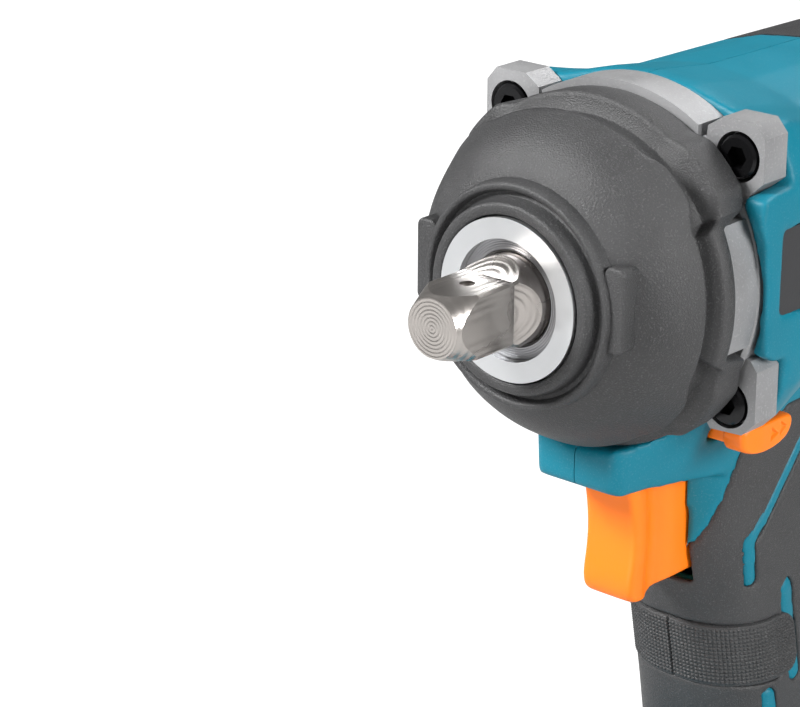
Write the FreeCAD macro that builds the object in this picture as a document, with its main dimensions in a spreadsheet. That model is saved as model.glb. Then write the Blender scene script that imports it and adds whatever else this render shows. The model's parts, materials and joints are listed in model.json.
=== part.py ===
"""Cordless half-inch impact wrench, built piece by piece as a parametric FreeCAD document.

Row frame: millimetres, +Z up, the nose points to -Y, X = 0 is the plane where the housing halves meet,
and the origin is the centre of the battery's flat base.

Drive frame: the head, the handle and the trigger are drawn in a frame of their own. It has the row
frame's directions and its origin at the anvil's tip, so y is the distance back from the tip along the
drive axis, here called a station, and z is the height above the drive axis.
"""
import FreeCAD, Part
import math
import os
import re
import Sketcher

Vector = FreeCAD.Vector

# Every size that can be set by itself. Millimetres, unless the note says otherwise.
SIZES = {
    "axis_height": (200, "drive axis above the battery's base"),
    "tip_reach": (110, "anvil tip ahead of the base's centre"),
    "run_gap": (0.05, "radial clearance of a running fit"),
    "seam": (0.2, "gap between neighbouring shells"),
    "free_gap": (0.4, "clearance round a piece that slides"),

    "square": (12.7, "drive square, across flats"),
    "tip_r": (5.9, "turned end face"),
    "tip_taper": (5.9, "length of the lead-in cone"),
    "corner_r": (8.6, "radius over the square's softened corners"),
    "flat_len": (16.0, "tip to the end of the flats"),
    "scoop_len": (5.5, "run-out of each flat into the shaft"),
    "shaft_r": (9.0, "anvil shaft"),
    "pin_hole_r": (1.5, "retaining pin hole"),
    "pin_hole_at": (9.9, "retaining pin hole, from the tip"),
    "jaw_front": (46.0, "front of the anvil's jaws"),
    "jaw_len": (7.0, "jaw length"),
    "jaw_reach": (20.5, "jaw tip radius"),
    "jaw_half": (6.0, "half width of a jaw"),
    "pilot_r": (4.0, "spindle pilot bore in the anvil"),
    "pilot_len": (8.0, "depth of the pilot bore"),

    "washer_front": (21.35, "front of the nose washer"),
    "washer_len": (1.5, "nose washer thickness"),
    "washer_r": (16.2, "nose washer, outside"),
    "washer_hole_r": (12.1, "nose washer, hole"),
    "bush_r": (12.0, "anvil bush, outside"),
    "bush_len": (20.0, "anvil bush length"),

    "bumper_front": (21.7, "front of the rubber bumper"),
    "bumper_hole_r": (16.5, "bumper hole round the washer"),
    "bumper_face_r": (19.0, "edge of the bumper's flat face"),
    "collar_r": (22.0, "outer edge of the bumper's collar"),
    "collar_at": (24.7, "station of the collar's edge"),
    "dome_r": (32.9, "ridge behind the bumper's dome"),
    "dome_at": (38.5, "station of the ridge"),
    "dome_curve": (17.0, "radius of the dome's section"),
    "groove_r": (31.9, "bottom of the groove behind the ridge"),
    "groove_end": (45.5, "rear of the groove"),
    "band_r": (35.6, "band, at its front"),
    "band_rear_r": (35.1, "band, at its rear"),
    "band_end": (54.5, "rear of the bumper"),
    "tab_half": (9.0, "half height of the bumper's side tabs"),
    "lobe_r": (37.3, "rim lobes in front of the corner bolts"),
    "window_at": (46.5, "rear of the rim at its two side windows"),
    "window_bar": (4.7, "rim length at a side window"),
    "window_low": (10.7, "side window, below the axis"),
    "window_up": (15.2, "side window, above the axis"),

    "case_r": (30.8, "gear case under the bumper"),
    "chamber_r": (25.0, "hammer chamber"),
    "flange_r": (34.3, "gear case flange"),
    "cap_r": (36.5, "raised top of the flange"),
    "cap_half": (19.0, "half width of the raised top"),
    "flange_front": (54.7, "front of the flange"),
    "flange_rear": (63.0, "rear of the flange"),
    "spigot_r": (31.0, "gear case inside the housing"),
    "bolt_x": (27.7, "case screws, sideways"),
    "bolt_up": (26.3, "upper case screws, above the axis"),
    "bolt_down": (23.5, "lower case screws, below the axis"),
    "bolt_head_r": (4.3, "case screw head"),
    "bolt_head_len": (5.0, "case screw head length"),
    "bolt_shank_r": (2.5, "case screw shank"),
    "bolt_len": (16.0, "case screw shank length"),
    "pocket_r": (5.0, "counterbore round a case screw head"),
    "boss_x": (33.8, "corner bosses, sideways"),
    "boss_up": (33.5, "upper bosses, above the axis"),
    "boss_down": (29.5, "lower bosses, below the axis"),

    "hammer_r": (23.5, "hammer"),
    "hammer_len": (22.0, "hammer body length"),
    "spindle_r": (8.0, "spindle shaft"),
    "cam_turn": (50.0, "hammer turn while it draws back, degrees"),
    "cam_lift": (10.0, "hammer draw-back"),
    "ball_r": (2.4, "cam balls"),
    "spring_r": (14.0, "hammer spring, mean radius"),
    "spring_wire_r": (1.5, "hammer spring wire"),
    "spring_turns": (4.0, "hammer spring turns"),
    "carrier_front": (79.5, "front of the planet carrier"),
    "carrier_r": (19.5, "planet carrier"),
    "gear_module": (1.0, "gear module"),
    "sun_teeth": (12, "teeth, a count"),
    "planet_teeth": (18, "teeth, a count"),
    "gear_front": (83.0, "front of the planets"),
    "gear_len": (8.0, "planet length"),
    "gear_play": (0.12, "each tooth flank is this much thinner"),
    "ring_r": (28.0, "ring gear, outside"),
    "planet_pin_r": (2.5, "planet pins"),
    "hub_r": (10.5, "spindle hub in its bearing"),
    "sun_bore_r": (7.8, "bore for the sun pinion"),
    "cover_front": (93.4, "front of the gear case cover"),
    "spindle_bearing_r": (16.0, "spindle bearing, outside"),
    "bearing_len": (6.0, "length of each bearing"),

    "rotor_shaft_r": (4.0, "motor shaft"),
    "pinion_seat_r": (3.0, "motor shaft under the pinion"),
    "motor_bearing_r": (8.0, "motor bearings, outside"),
    "stator_front": (112.0, "front of the stator"),
    "stator_len": (22.0, "stator length"),
    "stator_r": (26.0, "stator, outside"),
    "stator_bore_r": (15.3, "stator, inside"),
    "rotor_r": (14.8, "rotor core"),
    "fan_front": (139.0, "front of the fan"),
    "fan_len": (6.0, "fan length"),
    "fan_r": (23.5, "fan"),
    "rear_bearing_front": (147.5, "front of the rear motor bearing"),

    "head_half": (36.2, "half width of the head"),
    "head_top": (36.4, "top of the head's front, above the axis"),
    "ridge_x": (21.0, "shoulder lines on the head, sideways"),
    "head_drop": (2.2, "step down behind the front collar"),
    "head_rear": (160.0, "rear of the head"),
    "cheek_front": (54.5, "front of the side cheeks"),
    "vent_front": (60.0, "front of a side vent"),
    "vent_len": (36.0, "side vent length"),
    "vent_top": (12.6, "side vent, above the axis"),
    "vent_bottom": (5.2, "side vent, below the axis"),
    "vent_depth": (3.0, "side vent recess, behind the flange"),
    "vent_step": (4.5, "length of the shallow front of a side vent"),
    "rake": (0.21, "handle lean, run back per drop"),
    "grip_front": (77.2, "front of the handle at the grip patch"),
    "grip_depth": (44.5, "front to back of the handle there"),
    "grip_half": (17.0, "half width of the handle there"),
    "grip_level": (84.0, "drop of the grip patch's top edge"),
    "patch_height": (17.0, "height of the knurled patch"),
    "skin": (1.8, "thickness of the rubber skins"),
    "wall": (2.8, "thickness of the housing under the skins"),
    "chin_front": (43.8, "front of the chin under the nose"),
    "chin_half": (11.5, "half width of the chin"),
    "chin_drop": (45.2, "underside of the chin, below the axis"),

    "trigger_front": (55.7, "waist of the trigger"),
    "trigger_half": (6.8, "half width of the trigger"),
    "trigger_top": (44.9, "top of the trigger, below the axis"),
    "trigger_bottom": (73.8, "bottom of the trigger, below the axis"),
    "trigger_stroke": (7.0, "trigger travel"),
    "switch_front": (94.0, "front of the switch"),
    "lever_in": (22.8, "inside of a lever paddle, sideways"),
    "lever_out": (28.6, "outside of a lever paddle, sideways"),
    "lever_stroke": (2.6, "lever travel each way"),

    "base_len": (116.0, "battery, front to back"),
    "base_half": (37.0, "battery, half width"),
    "battery_split": (26.0, "height of the battery's joint line"),
    "battery_top": (48.0, "height of the battery's deck"),
    "rail_half": (24.0, "half width of the rail's head"),
    "rail_neck_half": (21.0, "half width of the rail's neck"),
    "rail_neck": (5.0, "rail neck height"),
    "rail_head": (5.0, "rail head height"),
    "foot_height": (17.0, "height of the foot's rim"),
    "cell_r": (9.2, "battery cell"),
    "cell_len": (65.0, "battery cell length"),
    "cell_pitch": (19.0, "cell spacing"),
    "cell_count": (5, "cells, a count"),
    "latch_half": (13.0, "half width of the latch button"),
    "latch_stroke": (4.0, "latch travel"),
}

# Places that follow from the sizes above, as expressions of them and of one another.
DERIVED = {
    "flat": "square / 2",
    "case_front": "washer_front + washer_len",
    "bush_front": "case_front + seam",
    "bolt_seat": "flange_front + 5.5",
    "jaw_rear": "jaw_front + jaw_len",
    "hammer_front": "jaw_rear + free_gap",
    "hammer_rear": "hammer_front + hammer_len",
    "spring_front": "hammer_rear - 12.5",
    "planet_r": "gear_module * planet_teeth / 2",
    "sun_r": "gear_module * sun_teeth / 2",
    "orbit_r": "sun_r + planet_r",
    "ring_pitch_r": "orbit_r + planet_r",
    "gear_rear": "gear_front + gear_len",
    "housing_front": "flange_rear + seam",
    "lower_bearing": "cover_front + bearing_len + 2",
    "shaft_rear": "rear_bearing_front + bearing_len",
    "stator_rear": "stator_front + stator_len",
    "deck": "battery_top - axis_height",
    "foot_bottom": "deck + free_gap",
    "foot_top": "foot_bottom + foot_height",
    "foot_front": "tip_reach - base_len / 2",
    "foot_rear": "tip_reach + base_len / 2",
    "rail_top": "rail_neck + rail_head",
}

doc = FreeCAD.newDocument("impact_wrench")
sheet = doc.addObject("Spreadsheet::Sheet", "dims")
for row, (alias, (size, note)) in enumerate(SIZES.items(), 1):
    sheet.set(f"A{row}", note)
    sheet.set(f"B{row}", str(size))
    sheet.setAlias(f"B{row}", alias)
doc.recompute()

NODES = []


def bind(text):
    """Turns an expression of plain names into one of sheet cells."""
    def cell(found):
        word = found.group()
        if word in SIZES:
            return f"dims.{word}"
        if word in DERIVED:
            return f"({bind(DERIVED[word])})"
        return word
    return re.sub(r"[a-z][a-z_]+", cell, str(text))


def value(text):
    """The number that an expression of plain names has now."""
    return float(sheet.evalExpression(bind(text)))


def node(label, thing):
    """Marks an object as one kept sub-part and gives it its label."""
    thing.Label = label
    NODES.append(thing)
    return thing


def new_body(name, drive_frame=True):
    """An empty body, placed in the drive frame or the row frame."""
    body = doc.addObject("PartDesign::Body", name)
    if drive_frame:
        body.setExpression("Placement.Base.y", bind("-tip_reach"))
        body.setExpression("Placement.Base.z", bind("axis_height"))
    return body


def datum(body, role):
    """One of a body's origin planes or axes."""
    return next(item for item in body.Origin.OriginFeatures if item.Role == role)


def arc_edge(start, end, radius):
    """The arc from start to end: plus turns left on the way, minus turns right."""
    chord = end - start
    rise = math.sqrt(radius ** 2 - (chord.Length / 2) ** 2)
    left = Vector(-chord.y, chord.x, 0).normalize()
    centre = (start + end) / 2 + left * math.copysign(rise, radius)
    first, last = (start, end) if radius > 0 else (end, start)
    angles = [math.atan2(p.y - centre.y, p.x - centre.x) for p in (first, last)]
    return Part.ArcOfCircle(Part.Circle(centre, Vector(0, 0, 1), abs(radius)), *angles)


def outline(body, plane, points, offset="0"):
    """One closed outline on an origin plane, with every corner bound to the sheet.

    A point is (across, up). A third entry is the radius of the arc that runs on to the next point.
    """
    sketch = body.newObject("Sketcher::SketchObject", f"{body.Name}_outline")
    sketch.AttachmentSupport = [(datum(body, f"{plane}_Plane"), "")]
    sketch.MapMode = "FlatFace"
    sketch.setExpression("AttachmentOffset.Base.z", bind(offset))
    corners = [Vector(value(point[0]), value(point[1]), 0) for point in points]
    begins = []
    for index, point in enumerate(points):
        start, end = corners[index], corners[(index + 1) % len(points)]
        if len(point) == 3:
            sketch.addGeometry(arc_edge(start, end, value(point[2])))
            begins.append(1 if value(point[2]) > 0 else 2)
        else:
            sketch.addGeometry(Part.LineSegment(start, end))
            begins.append(1)
    for index, point in enumerate(points):
        after = (index + 1) % len(points)
        sketch.addConstraint(Sketcher.Constraint(
            "Coincident", index, 3 - begins[index], after, begins[after]))
        for kind, axis, text in (("DistanceX", -2, point[0]), ("DistanceY", -1, point[1])):
            if str(text) == "0":
                sketch.addConstraint(Sketcher.Constraint("PointOnObject", index, begins[index], axis))
                continue
            size = value(text)
            made = sketch.addConstraint(Sketcher.Constraint(kind, -1, 1, index, begins[index], size))
            sketch.setExpression(f"Constraints[{made}]", bind(text))
        if len(point) == 3:
            made = sketch.addConstraint(Sketcher.Constraint("Radius", index, abs(value(point[2]))))
            sketch.setExpression(f"Constraints[{made}]", bind(f"abs({point[2]})"))
    return sketch


def turned(name, points, drive_frame=True):
    """A body turned about the drive axis from an outline of (station, radius)."""
    body = new_body(name, drive_frame)
    sketch = outline(body, "YZ", points)
    turn = body.newObject("PartDesign::Revolution", f"{name}_turn")
    turn.Profile = sketch
    turn.ReferenceAxis = (sketch, ["H_Axis"])
    turn.Angle = 360
    return body


def grooved(body, points):
    """Turns an outline of (station, radius) away from a body."""
    sketch = outline(body, "YZ", points)
    groove = body.newObject("PartDesign::Groove", f"{body.Name}_groove")
    groove.Profile = sketch
    groove.ReferenceAxis = (sketch, ["H_Axis"])
    groove.Angle = 360
    return groove


def sweep_straight(body, kind, plane, points, start, length):
    """Adds or cuts an outline, carried from start by length towards the plus side of its plane."""
    offset = f"-({start})" if plane == "XZ" else start
    sketch = outline(body, plane, points, offset)
    feature = body.newObject(f"PartDesign::{kind}", f"{body.Name}_{kind.lower()}")
    feature.Profile = sketch
    feature.Reversed = (kind == "Pad") == (plane == "XZ")
    feature.setExpression("Length", bind(length))
    return feature


def pad(body, plane, points, start, length):
    """Adds an outline carried from start by length."""
    return sweep_straight(body, "Pad", plane, points, start, length)


def pocket(body, plane, points, start, length):
    """Cuts an outline carried from start by length."""
    return sweep_straight(body, "Pocket", plane, points, start, length)


def both_ways(half):
    """Start and length of a sweep that is centred on its plane."""
    return f"-({half})", f"2 * ({half})"


def around(body, feature, count):
    """Repeats a feature evenly about the drive axis."""
    pattern = body.newObject("PartDesign::PolarPattern", f"{body.Name}_pattern")
    pattern.Originals = [feature]
    pattern.Axis = (datum(body, "Y_Axis"), [""])
    pattern.Angle = 360
    pattern.Occurrences = count
    body.Tip = pattern
    return pattern


def rectangle(left, right, low, high):
    """The four corners of a rectangle."""
    return [(left, low), (right, low), (right, high), (left, high)]


def circle(across, up, radius):
    """A round outline as two half-turn arcs."""
    return [(f"({across}) + ({radius})", up, f"({radius}) * 1.000001"),
            (f"({across}) - ({radius})", up, f"({radius}) * 1.000001")]


def mirrored_points(points):
    """An outline's right side, followed by its left side in the other order."""
    left = [(f"-({x})", z) for x, z in reversed(points) if x != "0"]
    return points + left


def rounded(front, rear, half, corner):
    """A plan outline of (x, station), with four round corners."""
    front, rear, half, corner = (f"({text})" for text in (front, rear, half, corner))
    return [(f"{half}", f"{front} + {corner}"),
            (f"{half}", f"{rear} - {corner}", corner),
            (f"{half} - {corner}", rear),
            (f"-({half}) + {corner}", rear, corner),
            (f"-({half})", f"{rear} - {corner}"),
            (f"-({half})", f"{front} + {corner}", corner),
            (f"-({half}) + {corner}", front),
            (f"{half} - {corner}", front, corner)]


def lofted(name, plane, sections, drive_frame=True):
    """A body drawn straight from each section to the next. A section is (place, outline)."""
    body = new_body(name, drive_frame)
    sketches = []
    for place, points in sections:
        offset = f"-({place})" if plane == "XZ" else place
        sketches.append(outline(body, plane, points, offset))
    loft = body.newObject("PartDesign::AdditiveLoft", f"{name}_loft")
    loft.Profile = sketches[0]
    loft.Sections = sketches[1:]
    loft.Ruled = True
    return body


def block(name, left, right, front, rear, low, high, drive_frame=True):
    """A plain box between six places."""
    body = new_body(name, drive_frame)
    pad(body, "XY", rectangle(left, right, front, rear), low, f"({high}) - ({low})")
    return body


def combine(kind, name, base, tools):
    """A Part boolean of one base with a list of tools."""
    if kind == "Fuse":
        result = doc.addObject("Part::MultiFuse", name)
        result.Shapes = [base] + tools
        return result
    tool = tools[0]
    if len(tools) > 1:
        tool = doc.addObject("Part::MultiFuse", f"{name}_tools")
        tool.Shapes = tools
    result = doc.addObject(f"Part::{kind}", name)
    result.Base = base
    result.Tool = tool
    return result


def copies(label, body, spots):
    """A group of equal pieces: copies of one body's solid, moved by each spot in turn."""
    doc.recompute()
    group = doc.addObject("Part::Feature", label)
    group.Shape = Part.makeCompound([moved(body.Shape, spot) for spot in spots])
    return node(label, group)


def moved(shape, placement):
    """A copy of a shape carried by a placement in the row frame."""
    copy = shape.copy()
    copy.Placement = placement.multiply(copy.Placement)
    return copy


def about_axis(angle):
    """A turn about the drive axis, as a placement in the row frame."""
    centre = Vector(0, 0, value("axis_height"))
    return FreeCAD.Placement(Vector(), FreeCAD.Rotation(Vector(0, 1, 0), angle), centre)


def shift(x=0.0, y=0.0, z=0.0):
    """A plain move."""
    return FreeCAD.Placement(Vector(x, y, z), FreeCAD.Rotation())


# ---------------------------------------------------------------- nose and impact mechanism

def make_anvil():
    """Drive square with a pin hole, a shaft that runs in the bush, and two jaws at the back."""
    body = turned("anvil", [
        ("0", "0"), ("0", "tip_r"), ("tip_taper", "corner_r"), ("flat_len", "corner_r"),
        ("flat_len + 1", "shaft_r"), ("jaw_rear", "shaft_r"), ("jaw_rear", "pilot_r"),
        ("jaw_rear - pilot_len", "pilot_r"), ("jaw_rear - pilot_len", "0")])
    flat = pocket(body, "YZ", [
        ("-1", "flat"), ("flat_len", "flat", "scoop_len * 2.2"),
        ("flat_len + scoop_len", "shaft_r + 0.3"), ("-1", "shaft_r + 0.3")], *both_ways("shaft_r + 1"))
    around(body, flat, 4)
    jaw = pad(body, "XZ", [
        ("shaft_r - 2", "-jaw_half"), ("jaw_reach - 1", "-jaw_half - 2"),
        ("jaw_reach - 1", "jaw_half + 2"), ("shaft_r - 2", "jaw_half")], "jaw_front", "jaw_len")
    around(body, jaw, 2)
    pocket(body, "XY", circle("0", "pin_hole_at", "pin_hole_r"), *both_ways("shaft_r"))
    return node("anvil", body)


def make_nose_rings():
    """The bright washer at the nose and the bronze bush that the anvil turns in."""
    node("nose_washer", turned("nose_washer", rectangle(
        "washer_front", "washer_front + washer_len", "washer_hole_r", "washer_r")))
    node("anvil_bush", turned("anvil_bush", [
        ("bush_front", "shaft_r + run_gap + 0.6"), ("bush_front", "bush_r"),
        ("bush_front + bush_len", "bush_r"), ("bush_front + bush_len", "shaft_r + run_gap"),
        ("bush_front + 0.6", "shaft_r + run_gap")]))


BOLTS = [("bolt_x", "bolt_up"), ("-bolt_x", "bolt_up"), ("bolt_x", "-bolt_down"), ("-bolt_x", "-bolt_down")]


def flipped(points):
    """An outline on the other side of X = 0, run in the same sense."""
    return [(f"-({x})", z) for x, z in reversed(points)]


def sector(inner, outer, low, high, side):
    """Outline between two radii and two heights, on one side of the drive axis."""
    def corner(radius, height):
        return f"{side} * sqrt(({radius})^2 - ({height})^2)", height
    return [corner(inner, low), (*corner(outer, low), f"{side} * ({outer})"), corner(outer, high),
            (*corner(inner, high), f"-({side}) * ({inner})")]


WINDOW = [("26", "-window_low"), ("39", "-window_low"), ("39", "window_up"), ("26", "window_up")]


def make_bumper():
    """Rubber nose guard: flat face, collar, dome, groove and band, with two side tabs."""
    body = turned("nose_bumper", [
        ("bumper_front", "bumper_hole_r"), ("bumper_front", "bumper_face_r"),
        ("collar_at", "collar_r"), ("collar_at + 0.6", "collar_r + 0.6", "-dome_curve"),
        ("dome_at", "dome_r"), ("dome_at + 0.8", "groove_r"), ("groove_end", "groove_r"),
        ("groove_end + 0.5", "band_r - 1"), ("groove_end + 1.5", "band_r"),
        ("band_end - 0.8", "band_rear_r"), ("band_end", "band_rear_r - 0.8"),
        ("band_end", "case_r + seam"), ("groove_end - 1", "case_r + seam"),
        ("dome_at - 3", "case_r - 2.4"), ("collar_at + 2.5", "bumper_hole_r + 1"),
        ("collar_at + 1.5", "bumper_hole_r")])
    tab = pad(body, "XZ", rectangle("collar_r - 1", "collar_r + 3.6", "-tab_half + 3", "tab_half + 3"),
              "collar_at - 0.5", "6")
    around(body, tab, 2)
    for side in (1, -1):
        pad(body, "XZ", sector("case_r + 0.6", "band_r", "-window_low", "window_up", side),
            "window_at - window_bar", "window_bar")
        for low, high in (("21", "29.5"), ("-27.5", "-14.5")):
            pad(body, "XZ", sector("case_r + 2", "lobe_r", low, high, side), "window_at", "7.5")
    for points in (WINDOW, flipped(WINDOW)):
        pocket(body, "XZ", points, "window_at", "20")
    return node("nose_bumper", body)


BOSS_UP = [("20", "26"), ("20.6", "boss_up - 2.3"), ("24", "boss_up"), ("boss_x - 2.4", "boss_up"),
           ("boss_x", "boss_up - 2.8"), ("boss_x", "boss_up - 11.4"), ("boss_x - 2.6", "boss_up - 13.8"),
           ("27", "14")]
BOSS_DOWN = [("27", "-12"), ("boss_x - 1", "-boss_down + 16"), ("boss_x + 0.6", "-boss_down + 14"),
             ("boss_x + 0.6", "-boss_down + 3.4"), ("boss_x - 2.4", "-boss_down + 0.4"),
             ("24", "-boss_down"), ("20", "-24")]


def make_gear_case():
    """Cast gear case: nose bore, hammer chamber, flange with four corner bosses, and a rear spigot."""
    body = turned("gear_case", [
        ("case_front", "bush_r"), ("case_front", "washer_r - 0.2"), ("collar_at + 1.3", "washer_r - 0.2"),
        ("dome_at - 3", "case_r - 2.8"), ("groove_end - 1", "case_r"), ("flange_front", "case_r"),
        ("flange_front", "flange_r - 0.8"), ("flange_front + 0.8", "flange_r"),
        ("flange_rear", "flange_r"), ("flange_rear", "spigot_r"), ("cover_front", "spigot_r"),
        ("cover_front", "ring_r"), ("gear_front - 0.1", "ring_r"), ("gear_front - 0.1", "chamber_r"),
        ("jaw_front - 1", "chamber_r"), ("jaw_front - 1", "bush_r")])
    for points in (BOSS_UP, BOSS_DOWN, flipped(BOSS_UP), flipped(BOSS_DOWN)):
        pad(body, "XZ", points, "flange_front + 1", "flange_rear - flange_front - 1")
    cap_low, cap_high = (f"sqrt(({radius})^2 - cap_half^2)" for radius in ("flange_r - 1", "cap_r"))
    pad(body, "XZ", [("-cap_half", cap_low, "-(flange_r - 1)"), ("cap_half", cap_low),
                     ("cap_half", cap_high, "cap_r"), ("-cap_half", cap_high)],
        "flange_front", "flange_rear - flange_front")
    for side in (1, -1):
        window = sector("case_r - 0.8", "flange_r - 0.3", "-window_low + 0.3", "window_up - 0.3", side)
        pad(body, "XZ", window, "window_at + 0.3", "flange_front - window_at + 1")
    for x, z in BOLTS:
        pocket(body, "XZ", circle(x, z, "pocket_r"), "flange_front - 3", "bolt_seat - flange_front + 3")
        pocket(body, "XZ", circle(x, z, "bolt_shank_r"), "flange_front", "bolt_len")
    return node("gear_case", body)


def make_case_screws():
    """Four socket-head screws that hold the gear case to the housing."""
    top = "bolt_seat - bolt_head_len"
    screw = turned("case_screw", [
        (top, "0"), (top, "bolt_head_r - 0.5"), (f"{top} + 0.5", "bolt_head_r"),
        ("bolt_seat", "bolt_head_r"), ("bolt_seat", "bolt_shank_r"),
        ("bolt_seat + bolt_len", "bolt_shank_r"), ("bolt_seat + bolt_len", "0")])
    hexagon = [(f"2.3 * cos({60 * k})", f"2.3 * sin({60 * k})") for k in range(6)]
    pocket(screw, "XZ", hexagon, "bolt_seat - bolt_head_len - 1", "4")
    spots = [shift(value(x), 0, value(z)) for x, z in BOLTS]
    copies("gear_case_screws", screw, spots)


def make_hammer():
    """Ring hammer with two lugs in front, a spring well behind and straight ball slots in its bore."""
    body = turned("hammer", [
        ("hammer_front", "spindle_r + run_gap"), ("hammer_front", "hammer_r - 1"),
        ("hammer_front + 1", "hammer_r"), ("hammer_rear", "hammer_r"),
        ("hammer_rear", "spring_r + spring_wire_r + 1"), ("spring_front", "spring_r + spring_wire_r + 1"),
        ("spring_front", "spring_r - spring_wire_r - 1"), ("hammer_rear - 4", "spring_r - spring_wire_r - 1"),
        ("hammer_rear - 4", "spindle_r + run_gap")])
    lug = pad(body, "XZ", [
        ("-jaw_half + 1", "shaft_r + 1"), ("-jaw_half - 1", "jaw_reach"),
        ("jaw_half + 1", "jaw_reach"), ("jaw_half - 1", "shaft_r + 1")],
        "jaw_front + 0.8", "hammer_front - jaw_front")
    around(body, lug, 2)
    slot = pocket(body, "XZ", rectangle("spindle_r - 3", "spindle_r + 1.4", "-ball_r - 0.1", "ball_r + 0.1"),
                  "hammer_front - 1", "cam_lift + 2 * ball_r + 4")
    around(body, slot, 2)
    return node("hammer", body)


def make_cam_balls():
    """Two steel balls between the spindle's cam groove and the hammer's slots."""
    ball = doc.addObject("Part::Sphere", "cam_ball")
    ball.setExpression("Radius", bind("ball_r"))
    ball.setExpression("Placement.Base.x", bind("spindle_r - 1.1"))
    ball.setExpression("Placement.Base.y", bind("hammer_front + cam_lift + ball_r + 1 - tip_reach"))
    ball.setExpression("Placement.Base.z", bind("axis_height"))
    copies("cam_balls", ball, [about_axis(0), about_axis(180)])


def make_spring():
    """Coil between the hammer's well and the carrier, as a round wire along a helix."""
    doc.recompute()
    mean = value("spring_r")
    wire = value("spring_wire_r")
    start = value("spring_front") + wire
    rise = value("carrier_front") - wire - start
    pitch = rise / value("spring_turns")
    helix = Part.makeHelix(pitch, rise, mean)
    profile = Part.Wire([Part.makeCircle(wire * 0.96, Vector(mean, 0, 0), Vector(0, 1, 0))])
    spring = doc.addObject("Part::Feature", "hammer_spring")
    spring.Shape = Part.Wire(helix.Edges).makePipeShell([profile], True, True)
    turn = FreeCAD.Rotation(Vector(1, 0, 0), -90)
    place = Vector(0, start - value("tip_reach"), value("axis_height"))
    spring.Placement = FreeCAD.Placement(place, turn)
    return node("hammer_spring", spring)


def make_spindle():
    """Shaft with a pilot, a ball groove, and a planet carrier with three windows and a rear hub."""
    body = turned("spindle", [
        ("jaw_rear - pilot_len + 0.5", "0"), ("jaw_rear - pilot_len + 0.5", "pilot_r - run_gap"),
        ("hammer_front", "pilot_r - run_gap"), ("hammer_front", "spindle_r"),
        ("carrier_front", "spindle_r"), ("carrier_front", "carrier_r"),
        ("gear_rear + 2", "carrier_r"), ("gear_rear + 2", "hub_r"),
        ("cover_front + bearing_len", "hub_r"), ("cover_front + bearing_len", "sun_bore_r"),
        ("gear_front - 0.2", "sun_bore_r"), ("gear_front - 0.2", "0")])
    window = pocket(body, "XZ", circle("0", "orbit_r", "planet_r + 1.6 * gear_module"),
                    "gear_front - 0.2", "gear_len + 0.4")
    around(body, window, 3)
    pin_hole = pocket(body, "XZ", circle("0", "orbit_r", "planet_pin_r"), "carrier_front - 1", "16")
    around(body, pin_hole, 3)
    grooved(body, rectangle(
        "hammer_front + cam_lift + 0.9", "hammer_front + cam_lift + 2 * ball_r + 1.1",
        "spindle_r - 3.6", "spindle_r + 1"))
    return node("spindle", body)


def tooth_wire(teeth, low_r, high_r, thinner, first_angle):
    """One wire of involute teeth at 20 degrees, the first tooth centred on first_angle (radians).

    A ring gear's spaces are the teeth of an outer gear, so it takes the same wire with thinner below 0.
    """
    pitch_r = value("gear_module") * teeth / 2
    base_r = pitch_r * math.cos(math.radians(20))
    half_tooth = math.pi / (2 * teeth) - thinner / pitch_r

    def roll(radius):
        pressure = math.acos(min(1.0, base_r / radius))
        return math.tan(pressure) - pressure

    flank = []
    for step in range(5):
        radius = low_r + (high_r - low_r) * step / 4
        flank.append((radius, half_tooth + roll(pitch_r) - roll(max(radius, base_r))))
    points = []
    for tooth in range(teeth):
        middle = first_angle + 2 * math.pi * tooth / teeth
        side = [(r, middle - a) for r, a in flank] + [(r, middle + a) for r, a in reversed(flank)]
        points += [Vector(r * math.cos(a), 0, r * math.sin(a)) for r, a in side]
    return Part.makePolygon(points + points[:1])


def round_wire(radius):
    """A round wire across the drive axis."""
    return Part.Wire([Part.makeCircle(radius, Vector(), Vector(0, 1, 0))])


def gear_solid(outer, inner, start, length):
    """A straight gear between an outer and an inner wire, from one station on."""
    solid = Part.Face(outer).cut(Part.Face(inner)).extrude(Vector(0, length, 0))
    solid.translate(Vector(0, start, 0))
    return solid


def drive_feature(label, shape):
    """A sub-part whose shape is worked out in the drive frame."""
    feature = doc.addObject("Part::Feature", label)
    feature.Shape = shape
    feature.Placement = shift(0, -value("tip_reach"), value("axis_height")).multiply(shape.Placement)
    return node(label, feature)


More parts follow.
